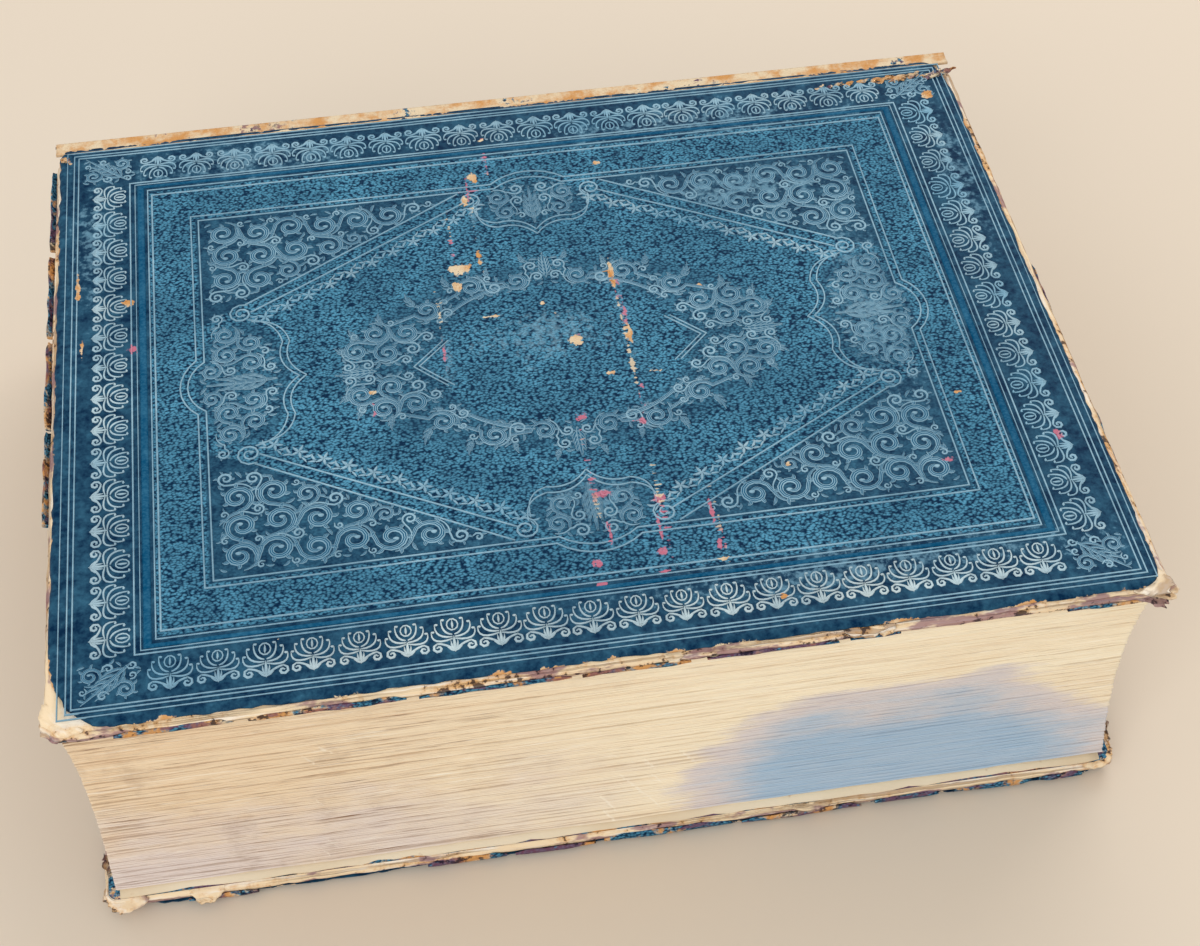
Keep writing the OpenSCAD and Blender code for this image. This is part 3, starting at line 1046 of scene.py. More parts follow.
quarterFoliage = []
fillRegion(quarterFoliage, cornerRoom, (24, 110, 34, 76))
spray(quarterFoliage, 88.6, 0.2, 0.0, 22, 0.0, 6, 1.3)
fillRegion(quarterFoliage, mirroredRoom(sideRoom, True), (86, 115, 0, 33), 4.4, 0.9,
           keep=[(98.6, 30.2, 5.6), (92, 0, 3.2), (98, 0, 3.6), (104, 0, 3.0), (109, 0, 2.2)])
spray(quarterFoliage, 0.2, 57.5, math.pi / 2, 19, 0.0, 5, 1.3)
fillRegion(quarterFoliage, mirroredRoom(topRoom, False), (0, 22, 55, 80), 3.9, 0.9,
           keep=[(20.6, 72.2, 5.6), (0, 60, 2.6), (0, 66, 3.0), (0, 72, 2.4)])
spray(quarterFoliage, 134.0, 101.6, 0.74, 19, 0.0, 5, 1.4)
fillRegion(quarterFoliage, lambda x, y: np.minimum.reduce([x - 131.6, 149.6 - x, y - 100.0, 114.6 - y]),
           (131, 150, 100, 115), 3.4, 0.9, keep=[(137, 104.4, 1.6), (141, 108, 1.8), (145.5, 112, 1.2)])
wreath = []
fillRegion(wreath, lambda x, y: mirroredRoom(mirroredRoom(wreathRoom, True), False)(x, y),
           (0, 72, 0, 48), 4.8, 0.85,
           keep=[(0, 38, 2.0), (0, 42, 2.0)])
spray(wreath, 0.1, 33, math.pi / 2, 12, 0, 4, 1.8)
spray(wreath, 58, 0.1, 0.0, 13, 0, 4, 1.8)
for spotX, spotY, heading, length in ((65, 8, 0.3, 7), (62, 14, 0.7, 7), (54.5, 19, 1.1, 7),
                                      (43, 26, 0.8, 8),
                                      (31.5, 33.5, 0.9, 6.5), (19, 36, 1.3, 5), (6, 41, 0.9, 5)):
    spray(wreath, spotX, spotY, heading, length, 0.7, 2, 1.2)
strand = bezier((36.8, 17.6), (27, 29.4), (12.4, 31.4), 12)
line(wreath, strand, np.linspace(1.1, 1.9, 12), broad=True)
scrollStrokes = fourWays(quarterFoliage)
for stroke in fourWays(wreath):
    stroke["path"] = stroke["path"] + (0, -2.0)
    scrollStrokes.append(stroke)


def onCover(mirrored):
    def place(x, y, z):
        return coverPlace(x, y, z + coverRise(x, y), mirrored)
    return place


for side, mirrored, body in (("front", False, "front_cover"), ("rear", True, "rear_cover")):
    points, faces, marks = ribbons(lineStrokes, onCover(mirrored))
    settle(makePiece(side + "CoverLines", points, faces, toolingFinish, marks, flip=mirrored), body,
           "blue_leather")
    points, faces, marks = ribbons(scrollStrokes, onCover(mirrored))
    settle(makePiece(side + "CoverScrolls", points, faces, toolingFinish, marks, flip=mirrored), body,
           "blue_leather")
    (outX, outY), (inX, inY), rise = frameLines["band"]
    rows = []
    for shareOut, height in ((1, -tooling["sink"]), (0.72, rise), (0.28, rise), (0, -tooling["sink"])):
        ring = rectangle(inX + (outX - inX) * shareOut, inY + (outY - inY) * shareOut)
        rows.append(onCover(mirrored)(ring[:, 0], ring[:, 1], np.full(len(ring), height)))
    points, faces = loopShell(rows[::-1], hollow=True)
    settle(makePiece(side + "CoverBand", points, faces, bandLeatherFinish, flip=mirrored), body,
           "blue_leather")
print("lines and scrolls tooled:", len(lineStrokes) + len(scrollStrokes), "strokes on each cover")


# the border of palmettes, one small tool pressed again and again
palmette = []
turns = np.linspace(0, 2 * math.pi, 11)[:-1]
line(palmette, np.stack([1.55 * np.cos(turns), 3.6 + 1.9 * np.sin(turns)], -1), 0.55, closed=True)
leaf(palmette, 0, 2.2, math.pi / 2, 2.8, 0, 1.0, 4, broad=False)
for side in (1, -1):
    for reach, high, low, waist in ((6.0, 1.5, -3.0, -1.2), (4.9, 3.9, -0.6, -0.6), (3.0, 5.3, 0.9, 0.2)):
        path = bezier((side * 0.3, waist), (side * reach * 1.05, low), (side * reach, high), 7)
        line(palmette, path, np.array([0.5, 0.75, 0.8, 0.78, 0.7, 0.6, 0.4]))
        bead(palmette, side * (reach - 0.45), high + 0.15, 0.5)
    for spread, length in ((0.5, 3.9), (1.0, 3.6)):
        leaf(palmette, 0, -5.5, math.pi / 2 - side * spread, length, side * 0.5, 0.95, 4, broad=False)
    path = bezier((0, -4.9), (side * 2.6, -2.6), (side * 4.6, -2.4), 6)
    line(palmette, path, np.linspace(1.0, 0.8, 6))
    curl(palmette, side * 4.5, -4.0, 1.7, math.pi / 2, 1.15, -side, width=0.95, count=9)
leaf(palmette, 0, -5.7, math.pi / 2, 5.4, 0, 1.3, 5, broad=False)

sprig = []
for number in range(5):
    leaf(sprig, 0, 0, math.pi / 2 + number * 2 * math.pi / 5, 2.7, 0, 1.35, 4, broad=False)
bead(sprig, 0, 0, 0.5)
for side in (1, -1):
    leaf(sprig, side * 2.0, -1.4, math.pi / 2 - side * 1.35, 3.0, side * 0.9, 1.2, 4, broad=False)
    leaf(sprig, side * 1.6, -1.8, math.pi / 2 - side * 1.8, 2.6, -side * 0.5, 0.9, 4, broad=False)

border = {
    "longCount": 20,
    "longPitch": 13.02,
    "longY": 106.8,
    "shortCount": 15,
    "shortPitch": 13.29,
    "shortX": 140.2,
    "size": 1.0,
    "sizeChange": 0.04,
    "seed": 7,
}
sprigRow = {
    "count": 11,
    "start": (91.0, 27.6),
    "end": (19.6, 67.2),
    "size": 1.0,
    "sizeChange": 0.08,
    "seed": 11,
}


def repeatTree():
    # places a motif on every point, turned by the point's own turn
    tree = bpy.data.node_groups.new("pressTool", "GeometryNodeTree")
    for label, kind in (("Places", "NodeSocketGeometry"), ("Motif", "NodeSocketObject"),
                        ("Size", "NodeSocketFloat"),
                        ("Size Change", "NodeSocketFloat"), ("Seed", "NodeSocketInt"),
                        ("Finish", "NodeSocketMaterial")):
        tree.interface.new_socket(label, in_out="INPUT", socket_type=kind)
    tree.interface.new_socket("Pressed", in_out="OUTPUT", socket_type="NodeSocketGeometry")
    wire = Wire(tree)
    size = wire.node("NodeGroupInput", out="Size")
    change = wire.node("NodeGroupInput", out="Size Change")
    sizes = wire.node("FunctionNodeRandomValue", {"data_type": "FLOAT"}, {
        2: size - change, 3: size + change, 8: wire.node("NodeGroupInput", out="Seed")}, out=1)
    turn = wire.node("GeometryNodeInputNamedAttribute", {"data_type": "FLOAT_VECTOR"}, {"Name": "turn"})
    turning = wire.node("FunctionNodeEulerToRotation", None, {0: turn})
    motif = wire.node("GeometryNodeObjectInfo", None, {0: wire.node("NodeGroupInput", out="Motif")},
                      out="Geometry")
    pressed = wire.node("GeometryNodeInstanceOnPoints", None, {
        "Points": wire.node("NodeGroupInput", out="Places"), "Instance": motif, "Rotation": turning,
        "Scale": sizes})
    plain = wire.node("GeometryNodeRealizeInstances", None, {0: pressed})
    done = wire.node("GeometryNodeSetMaterial", None, {
        "Geometry": plain, "Material": wire.node("NodeGroupInput", out="Finish")})
    wire.node("NodeGroupOutput", None, {0: done})
    return tree


pressTool = repeatTree()


def repeated(name, motifMesh, places, turns, settings, finish):
    # motifMesh is (points, faces, marks) in millimetres; places in the book's millimetres
    motif = makePiece(name + "Motif", *motifMesh[:2], finish, motifMesh[2])
    base = makePiece(name, places, [], finish)
    layer = base.data.attributes.new("turn", "FLOAT_VECTOR", "POINT")
    layer.data.foreach_set("vector", np.asarray(turns, np.float32).ravel())
    modifier = base.modifiers.new("press", "NODES")
    modifier.node_group = pressTool
    values = {"Motif": motif, "Size": settings["size"], "Size Change": settings["sizeChange"],
              "Seed": settings["seed"], "Finish": finish}
    for item in pressTool.interface.items_tree:
        if item.in_out == "INPUT" and item.name in values:
            modifier[item.identifier] = values[item.name]
    base.update_tag()
    graph = bpy.context.evaluated_depsgraph_get()
    mesh = bpy.data.meshes.new_from_object(base.evaluated_get(graph), preserve_all_data_layers=True,
                                           depsgraph=graph)
    base.modifiers.clear()
    base.data = mesh
    if "turn" in mesh.attributes:
        mesh.attributes.remove(mesh.attributes["turn"])
    bpy.data.objects.remove(motif)
    return base


def spotsOf(mesh):
    spots = np.empty(len(mesh.vertices) * 3)
    mesh.vertices.foreach_get("co", spots)
    return spots.reshape(-1, 3)


def mirroredCopy(piece, name):
    # the same shape under the rear cover
    mesh = piece.data.copy()
    spots = spotsOf(mesh)
    spots[:, 2] = topZ * mm - spots[:, 2]
    mesh.vertices.foreach_set("co", spots.ravel())
    mesh.flip_normals()
    mesh.update()
    copy = bpy.data.objects.new(name, mesh)
    bpy.context.scene.collection.objects.link(copy)
    return copy


def followSurface(piece):
    # drops each vertex by the swell of the leather below it, and marks its wear
    mesh = piece.data
    spots = spotsOf(mesh)
    x = spots[:, 0] / mm
    y = spots[:, 1] / mm - patternY
    spots[:, 2] += coverRise(x, y) * mm
    mesh.vertices.foreach_set("co", spots.ravel())
    # the tooled palmettes and sprigs turn paler along the fore-edge and the tail
    nearFore = 0.6 * smooth((-y - 96) / 4) * smooth((150 - np.abs(x - 20)) / 60)
    bright = 0.25 + nearFore + 0.2 * smooth((-x - 130) / 4)
    marksHere = dict(wornAt(x, y), bright=np.clip(bright + 0.25 * waves(x, y, 13, 23), 0, 1))
    for key, values in marksHere.items():
        layer = mesh.attributes.get(key) or mesh.attributes.new(key, "FLOAT", "POINT")
        layer.data.foreach_set("value", values.astype(np.float32))
    mesh.update()


borderPlaces, borderTurns = [], []
for number in range(border["longCount"]):
    along = (number - (border["longCount"] - 1) / 2) * border["longPitch"]
    borderPlaces += [(along, patternY - border["longY"], topZ), (along, patternY + border["longY"], topZ)]
    borderTurns += [(0, 0, 0), (0, 0, math.pi)]
for number in range(border["shortCount"]):
    along = (number - (border["shortCount"] - 1) / 2) * border["shortPitch"]
    borderPlaces += [(-border["shortX"], patternY + along, topZ),
                     (border["shortX"], patternY + along, topZ)]
    borderTurns += [(0, 0, -math.pi / 2), (0, 0, math.pi / 2)]
frontPalmettes = repeated("frontPalmettes", ribbons(palmette, together), borderPlaces, borderTurns,
                          border, toolingFinish)

sprigPlaces, sprigTurns = [], []
(startX, startY), (endX, endY) = sprigRow["start"], sprigRow["end"]
for signX in (1, -1):
    for signY in (1, -1):
        outwards = math.atan2(signY * (startX - endX), signX * (endY - startY))
        for number in range(sprigRow["count"]):
            share = number / (sprigRow["count"] - 1)
            sprigPlaces.append((signX * (startX + (endX - startX) * share),
                                patternY + signY * (startY + (endY - startY) * share), topZ))
            sprigTurns.append((0, 0, outwards - math.pi / 2 + math.pi))
frontSprigs = repeated("frontSprigs", ribbons(sprig, together), sprigPlaces, sprigTurns, sprigRow,
                       toolingFinish)

for piece in (frontPalmettes, frontSprigs):
    followSurface(piece)
    rear = mirroredCopy(piece, piece.name.replace("front", "rear"))
    settle(piece, "front_cover", "blue_leather")
    settle(rear, "rear_cover", "blue_leather")
print("palmettes and sprigs pressed:", len(borderPlaces), "and", len(sprigPlaces))


# the boards, with rounded worn edges
boardShape = {
    "radii": {"front": (9.0, 4.0, 3.0, 3.0), "rear": (4.0, 5.0, 3.0, 3.0)},
    "sidePoints": (150, 110),
    "rough": 0.3,
    "profile": [(24, -1.3), (12, -1.25), (6, -1.2), (3.4, -1.25), (2.0, -1.5), (1.1, -2.0), (0.45, -2.8),
                (0.1, -3.8),
                (0.0, -4.6), (0.25, -5.4), (0.9, -6.0), (2.2, -6.25), (6, -6.3), (24, -6.3)],
}


def makeBoard(name, side, mirrored, seed):
    box = (-halfLength + 0.1, halfLength - 0.1, foreY + 0.1, boardBackY)
    rings = []
    for row, (inset, height) in enumerate(boardShape["profile"]):
        ring = roundedRing(box, boardShape["radii"][side], inset, boardShape["sidePoints"])
        away = waves(ring[:, 0] + ring[:, 1] * 0.7, np.full(len(ring), height * 3.4), 2.9, seed)
        slow = waves(ring[:, 0], ring[:, 1], 17, seed + 1)
        middle = np.array([0.0, (box[2] + box[3]) / 2])
        inwards = np.clip((middle - ring) / np.array([halfLength, 120]), -1, 1)
        inwards = np.sign(inwards) * np.abs(inwards) ** 8
        push = boardShape["rough"] * (0.6 + away + 0.9 * slow) * (1 if inset < 5 else 0)
        ring = ring + inwards * np.clip(push, -0.05, None)[:, None]
        z = np.full(len(ring), topZ + height) + (0.12 * slow if inset < 5 else 0)
        if mirrored:
            z = topZ - z
        rings.append(np.concatenate([ring, z[:, None]], 1))
    points, faces = loopShell(rings)
    return makePiece(name, points, faces, wornBoardFinish, flip=mirrored)


settle(makeBoard("frontBoardWorn", "front", False, 21), "front_cover", "millboard", "front_board")
settle(makeBoard("rearBoardWorn", "rear", True, 33), "rear_cover", "millboard", "rear_board")
print("boards shaped")


# leather left along the edges of the boards, in torn strips
remnants = {
    "thickness": 0.35,
    "step": 1.1,
}


def edgeStrip(side, start, end, profile, seed, fray=0.5):
    # side is fore, head or tail; profile is a list of (out from the board's edge, height)
    count = max(int((end - start) / remnants["step"]), 4)
    along = np.linspace(start, end, count)
    taper = np.minimum(smooth((along - start) / 4), smooth((end - along) / 4))
    outs = np.array([spot[0] for spot in profile], float)
    heights = np.array([spot[1] for spot in profile], float)
    middle = heights.mean()
    gridA = np.repeat(along[:, None], len(profile), 1)
    ragged = 1 + fray * 0.5 * waves(gridA, np.tile(heights * 3, (count, 1)), 4, seed)
    high = middle + (heights - middle)[None, :] * (0.35 + 0.65 * taper[:, None]) * ragged
    out = outs[None, :] + 0.35 * waves(gridA, np.tile(heights, (count, 1)), 6, seed + 2)
    sheets = []
    for depth in (0, remnants["thickness"]):
        if side == "fore":
            sheets.append(together(gridA, foreY - out + depth, high))
        elif side == "head":
            sheets.append(together(halfLength + out - depth, gridA, high))
        else:
            sheets.append(together(-halfLength - out + depth, gridA, high))
    points, faces = sheetShell(*sheets)
    if side == "tail":
        faces = [tuple(reversed(face)) for face in faces]
    return points, faces


def joinShells(shells):
    points, faces, count = [], [], 0
    for shellPoints, shellFaces in shells:
        points.append(shellPoints)
        faces += [tuple(spot + count for spot in face) for face in shellFaces]
        count += len(shellPoints)
    return np.concatenate(points), faces


draw = random.Random(5)


def stripRow(side, low, high, zLow, zHigh, share, seed, lean=0.0, piece=(10, 46)):
    # several torn strips one after another, covering about that share of the edge;
    # lean is how far their tops stand off
    shells = []
    place = low
    while place < high - 6:
        length = min(draw.uniform(*piece), high - place)
        if draw.random() < share:
            bottom = zLow + draw.uniform(-0.2, 0.5)
            top = zHigh + draw.uniform(-0.9, 0.4)
            profile = [(-0.7, bottom), (0.05, bottom + 0.25 * (top - bottom)),
                       (0.2 + 0.6 * lean, bottom + 0.6 * (top - bottom)), (-0.05 + lean, top)]
            shells.append(edgeStrip(side, place, place + length, profile, seed + place))
        place += length + draw.uniform(0.5, 5)
    return shells


frontStrips = stripRow("fore", -140, 150, topZ - 6.6, topZ - 4.0, 0.75, 41)
frontStrips += stripRow("tail", -112, 108, topZ - 6.2, topZ - 2.4, 0.95, 43, lean=1.5, piece=(24, 70))
frontStrips += stripRow("head", -110, 104, topZ - 6.6, topZ - 3.6, 0.6, 47)
settle(makePiece("frontEdgeRemnants", *joinShells(frontStrips), frayedLeatherFinish), "front_cover",
       "blue_leather")
rearStrips = stripRow("fore", -134, 148, 0.6, 4.2, 0.75, 51)
rearStrips += stripRow("tail", -118, 108, 0.6, 4.6, 0.8, 53)
rearStrips += stripRow("head", -112, 108, 0.6, 5.2, 0.85, 57)
settle(makePiece("rearEdgeRemnants", *joinShells(rearStrips), frayedLeatherFinish), "rear_cover",
       "blue_leather")
print("edge leather torn into", len(frontStrips) + len(rearStrips), "strips")


# paper flaps where the boards' layers come apart
def flap(corner, spread, lift, size, seed, thickness=0.5, ragged=0.5):
    # a small curled sheet that starts at corner and grows in the direction spread (degrees)
    rows, columns = 14, 9
    share = np.linspace(0, 1, rows)[:, None]
    wide = np.linspace(-0.5, 0.5, columns)[None, :]
    heading = math.radians(spread)
    reach = size[0] * share + 0 * wide
    half = size[1] * wide * (1 - 0.55 * share ** 2) + ragged * waves(share * 9, wide * 5, 1.3, seed)
    reach = reach * (1 - 0.3 * ragged * np.abs(waves(wide * 7, 0 * share, 1.1, seed + 5)) * share)
    x = corner[0] + reach * math.cos(heading) - half * math.sin(heading)
    y = corner[1] + reach * math.sin(heading) + half * math.cos(heading)
    z = corner[2] + lift * share ** 2 + 0.25 * waves(share * 7, wide * 6, 1.1, seed + 3)
    top = together(x, y, z)
    bottom = top - np.array([0, 0, thickness])
    return sheetShell(top, bottom)


frontFlaps = [
    flap((-152.5, -122.5, topZ - 1.5), 225, -0.4, (6.0, 15), 3, 0.35),
    flap((-153.5, -122.5, topZ - 2.8), 232, -1.6, (6.4, 12), 4, 0.35),
    flap((-154.5, -121, topZ - 4.2), 218, -0.4, (5.4, 11), 5, 0.35),
    flap((150, -123.5, topZ - 1.3), 322, 0.9, (9.5, 12), 6, 0.35),
    flap((151, -123.5, topZ - 2.9), 326, -0.6, (10.5, 9), 7, 0.35),
    flap((150, -123.5, topZ - 4.6), 318, -1.6, (10.0, 10), 8, 0.35),
    flap((14, -127.2, topZ - 2.0), 270, -1.4, (2.6, 6), 9),
    flap((68, -127.2, topZ - 1.5), 262, -1.0, (3.4, 12), 10),
    flap((74, -127.4, topZ - 1.6), 280, -1.4, (3.0, 7), 11),
]
settle(makePiece("frontBoardFlaps", *joinShells(frontFlaps), wornBoardFinish), "front_cover", "millboard")
rearFlaps = [
    flap((-150, -124, 6.2), 225, -1.2, (9.0, 13), 13),
    flap((-152, -123, 4.8), 215, -1.8, (8.0, 12), 14),
    flap((-128, -127, 6.0), 268, -2.6, (4.5, 11), 15),
    flap((151, -123, 6.2), 330, 0.8, (8.5, 13), 16),
    flap((152, -118, 5.0), 345, 1.6, (8.0, 12), 17),
    flap((60, -127, 6.0), 270, -1.0, (3.0, 14), 18),
    flap((153.5, -116, 4.8), 4, 6.5, (6.0, 10), 19, 0.5, 0.9),
    flap((154.5, -104, 4.8), -6, 4.5, (4.5, 9), 20, 0.5, 0.9),
    flap((-154.0, -116, 4.8), 176, 5.0, (5.0, 10), 21, 0.5, 0.9),
    flap((-153.0, -105, 4.8), 184, 3.4, (4.5, 8), 22, 0.5, 0.9),
]
settle(makePiece("rearBoardFlaps", *joinShells(rearFlaps), wornBoardFinish), "rear_cover", "millboard")
print("board corners split")


# leather turned in over the inner edge of each board, and the pastedown over it
turnIn = {
    "reach": 17.0,
    "thickness": 0.55,
}


def makeTurnIn(name, mirrored, seed):
    box = (-halfLength + 1.4, halfLength - 1.4, foreY + 1.4, boardBackY - 0.4)
    inner = topZ - coverThick
    rings = []
    for inset, height in ((0, 0.62), (0.4, 0.1), (2, 0.0), (turnIn["reach"] - 1, 0.0),
                          (turnIn["reach"], 0.2), (turnIn["reach"], 0.6)):
        ring = roundedRing(box, (3, 3, 3, 3), inset, (90, 66), 5)
        ragged = 0.5 * waves(ring[:, 0], ring[:, 1], 8, seed) if inset > 10 else 0
        z = inner + height + 0 * ring[:, 0]
        ring = ring + (np.sign(ring) * np.abs(ring / (halfLength, 129)) ** 6) * np.reshape(ragged, (-1, 1))
        rings.append(np.concatenate([ring, (topZ - z if mirrored else z)[:, None]], 1))
    points, faces = loopShell(rings, hollow=True)
    marks = {"wear": 0.4 + 0.3 * waves(points[:, 0], points[:, 1], 12, seed + 4),
             "scuff": np.full(len(points), 0.4)}
    return makePiece(name, points, faces, frayedLeatherFinish, marks, flip=mirrored)


settle(makeTurnIn("frontTurnIn", False, 61), "front_cover", "blue_leather")
settle(makeTurnIn("rearTurnIn", True, 67), "rear_cover", "blue_leather")


pastedown = {
    "thickness": 0.5,
    "sunk": 0.12,
    "ragged": 0.7,
    "steps": (60, 48),
}


def makePastedown(name, mirrored, box, seed):
    inner = topZ - coverThick
    x = np.linspace(box[0], box[1], pastedown["steps"][0])
    y = np.linspace(box[2], box[3], pastedown["steps"][1])
    gridX, gridY = np.meshgrid(x, y, indexing="ij")
    edge = np.minimum.reduce([gridX - box[0], box[1] - gridX, gridY - box[2], box[3] - gridY])
    ragged = np.clip(1 - edge / 4, 0, 1) * pastedown["ragged"]
    spotX = gridX + ragged * waves(gridY, gridX, 5, seed) * (np.abs(gridX) > 100)
    spotY = gridY + ragged * waves(gridX, gridY, 5, seed + 1) * (gridY < -90)
    low = inner - pastedown["sunk"] + 0.1 * waves(gridX, gridY, 22, seed + 2)
    high = low + pastedown["thickness"]
    if mirrored:
        low, high = topZ - low, topZ - high
    points, faces = sheetShell(together(spotX, spotY, high), together(spotX, spotY, low))
    return makePiece(name, points, faces, pastedownFinish, flip=mirrored)


frontPaste = (pastedownLow[0], pastedownHigh[0], pastedownLow[1], pastedownHigh[1] + 8)
settle(makePastedown("frontPastedownSheet", False, frontPaste, 71), "front_cover", "endpaper",
       "front_pastedown")
rearPaste = (-halfLength + 5, halfLength - 5, foreY + 1.6, pastedownHigh[1] + 8)
settle(makePastedown("rearPastedownSheet", True, rearPaste, 73), "rear_cover", "endpaper", "rear_pastedown")
print("turn-ins and pastedowns laid")


# the text block: every gathering is a stack of thin bundles of leaves
block = {
    "bundles": 6,
    "lengthSteps": 64,
    "edgeStray": 0.28,
    "endStray": 0.22,
    "wave": 0.10,
    "hollow": 6.0,
    "spineRound": 9.0,
    "spineDepth": 2.5,
    "bendPower": 2.4,
    "gap": 0.2,  # between the block and the loose leaves
    "bundleGap": 0.03,
    "ends": (0.0, 0.5, 1.5, 3.2),  # rows close together where the leaves end
    "endRun": 6,
    "edgeSway": ((0.25, 21, 7), (0.12, 5, 11)),  # how far, over what length, seed
    "foreReach": 8,
    "pinch": 0.32,
    "creaseWidth": 2.5,
}
blockLow = boxOf("gathering_01")[0]
blockHigh = boxOf("gathering_24")[1]
gatherings = sorted(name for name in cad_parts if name.startswith("gathering_"))
blockHalf = blockHigh[0]
blockForeY = blockLow[1]
titleLow = boxOf("title_leaf")[0]
rearFlyHigh = boxOf("rear_flyleaf")[1]
blockZ0 = rearFlyHigh[2] + block["gap"]
blockZ1 = titleLow[2] - block["gap"]


def spineY(depth, share):
    # where the back of the book is at a height given as -1 to 1 across the spine
    return axisY + 3 - depth + block["spineRound"] * (1 - np.abs(share) ** block["bendPower"])


def leafLevel(z, y):
    # leaves run flat and spread a little as they reach the rounded back
    share = (z - midZ) / (blockZ1 - midZ)
    spread = midZ + share * (midZ - block["spineDepth"])
    bend = smooth((y - (axisY - 0.5)) / 3.5)
    return z * (1 - bend) + spread * bend


def makeGathering(node, number):
    # the stack keeps inside its own share of the block's thickness
    thick = (blockZ1 - blockZ0) / len(gatherings)
    shells = []
    creases, pages = [], []
    draw = random.Random(200 + number)
    for bundle in range(block["bundles"]):
        low = blockZ0 + thick * (number + bundle / block["bundles"])
        high = low + thick / block["bundles"] - block["bundleGap"]
        middle = (low + high) / 2
        share = (middle - midZ) / (blockZ1 - midZ)
        fore = blockForeY + block["hollow"] * (1 - share * share)
        back = spineY(block["spineDepth"] + 0.1, share)
        stray = draw.uniform(-1, 1) * block["edgeStray"] - 0.1
        endStray = draw.uniform(-1, 0) * block["endStray"]
        columns = np.concatenate([[0, 0.5, 2.0], np.linspace(10, axisY - 1 - fore, 6),
                                  np.linspace(axisY + 0.2, back, 4) - fore])
        ends = np.array(block["ends"])
        run = np.linspace(-blockHalf + block["endRun"], blockHalf - block["endRun"], block["lengthSteps"])
        x = np.concatenate([-blockHalf - endStray * 0.5 + ends, run, blockHalf + endStray - ends[::-1]])
        gridX = np.repeat(x[:, None], len(columns), 1)
        edge = fore + stray
        for reach, length, seed in block["edgeSway"]:
            edge = edge + reach * wobble(x, length, number * seed + bundle)
        nearFore = np.clip(1 - columns / block["foreReach"], 0, 1)
        gridY = fore + columns[None, :] + (edge - fore)[:, None] * nearFore[None, :]
        gridY = np.minimum(gridY, back)
        wave = block["wave"] * (wobble(x, 34, number) + 0.6 * wobble(x, 9, number + 50))[:, None]
        pinch = np.array([block["pinch"]] + [1.0] * (len(columns) - 1))[None, :]
        half = (high - low) / 2 * pinch
        centre = leafLevel(middle, gridY) + wave
        grow = 1 + smooth((gridY - axisY) / 3) * ((midZ - block["spineDepth"]) / (blockZ1 - midZ) - 1)
        shells.append(sheetShell(together(gridX, gridY, centre + half * grow),
                                 together(gridX, gridY, centre - half * grow)))
        # crease: 0 on the middle row of each bundle's outer edge, 1 elsewhere; it paints shade between bundles
        crease = np.ones(gridX.shape)
        crease[:, 0] = 0
        creases += [crease.ravel(), crease.ravel()]
        page = smooth(np.minimum(columns[None, :] - 0.6, blockHalf - np.abs(gridX) - 0.3) / block["creaseWidth"])
        pages += [page.ravel(), page.ravel()]
    points, faces = joinShells(shells)
    piece = makePiece("leaves" + node[-2:], points, faces, leafEdgeFinish, {
        "crease": np.concatenate(creases), "page": np.concatenate(pages)})
    return settle(piece, "text_block", "page_paper", node)


for number, node in enumerate(gatherings):
    makeGathering(node, number)
print("text block filled:", len(gatherings), "gatherings of", block["bundles"], "bundles")


# loose leaves at the front and back, each with a narrow flange bent up into its joint
looseLeaves = {
    "thickness": 0.34,
    "bend": 2.3,
    "stepsAlong": 90,
    "tearHalf": 5,
    "tearDepth": 0.8,
    "bodies": {
        "front_endpaper": "front_endpaper_leaf", "front_flyleaf": "front_flyleaf_leaf",
        "frontispiece_leaf": "frontispiece", "title_leaf": "title_page",
        "rear_endpaper": "rear_endpaper_leaf", "rear_flyleaf": "rear_flyleaf_leaf",
    },
}


def makeLeaf(node, body, number):
    low, high = boxOf(node)
    front = low[2] > midZ
    thick = looseLeaves["thickness"]
    bend = looseLeaves["bend"]
    level = low[2] + 0.03 if front else high[2] - 0.37
    end = high[2] if front else low[2]
    flange = high[1] - 0.2
    run = np.concatenate([[0, 0.8, 3], np.linspace(14, flange - 2.5 - low[1], 7)])
    y = [low[1] + step for step in run]
    z = [0.0] * len(y)
    reach = abs(end - level)
    for share in (0.25, 0.5, 0.75, 1.0):  # the bend up into the joint
        y.append(flange - 2.5 + bend * math.sin(share * math.pi / 2))
        z.append(min(bend, reach - 1) * (1 - math.cos(share * math.pi / 2)))
    y.append(flange - 0.1)
    z.append(reach - 0.2)
    y, z = np.array(y), np.array(z)
    x = np.linspace(low[0] + 0.3, high[0] - 0.3, looseLeaves["stepsAlong"])
    gridX = np.repeat(x[:, None], len(y), 1)
    near = np.clip(1 - run / 10, 0, 1)
    stray = np.zeros(len(y))
    stray[: len(run)] = near
    edge = 0.3 * wobble(x, 17, number) + 0.25 * wobble(x, 4, number + 9) + 0.3
    tear = np.where(np.abs(x - 40 - 30 * number) < looseLeaves["tearHalf"], looseLeaves["tearDepth"], 0.0)
    gridY = y[None, :] + (edge + tear)[:, None] * stray[None, :]
    sway = 0.05 * (wobble(x, 25, number + 3) + 0.5 * wobble(x, 8, number + 4))[:, None]
    sway = sway * (np.arange(len(y)) < len(run))
    # the sheet's two faces are set apart along its own normal
    slopeY = np.gradient(y)
    slopeZ = np.gradient(z)
    length = np.hypot(slopeY, slopeZ)
    normalY, normalZ = -slopeZ / length, slopeY / length
    sign = 1 if front else -1
    middleZ = z[None, :] + sway
    upper = np.stack([gridX, gridY + normalY * thick / 2,
                      level + thick / 2 + sign * (middleZ + normalZ * thick / 2)], -1)
    lower = np.stack([gridX, gridY - normalY * thick / 2,
                      level + thick / 2 + sign * (middleZ - normalZ * thick / 2)], -1)
    points, faces = sheetShell(upper, lower)
    piece = makePiece(node.replace("_leaf", "").replace("_", " ").title().replace(" ", "") + "Sheet",
                      points, faces, leafFinish, flip=not front)
    return settle(piece, body, "page_paper" if "leaf" in node else "endpaper", node)


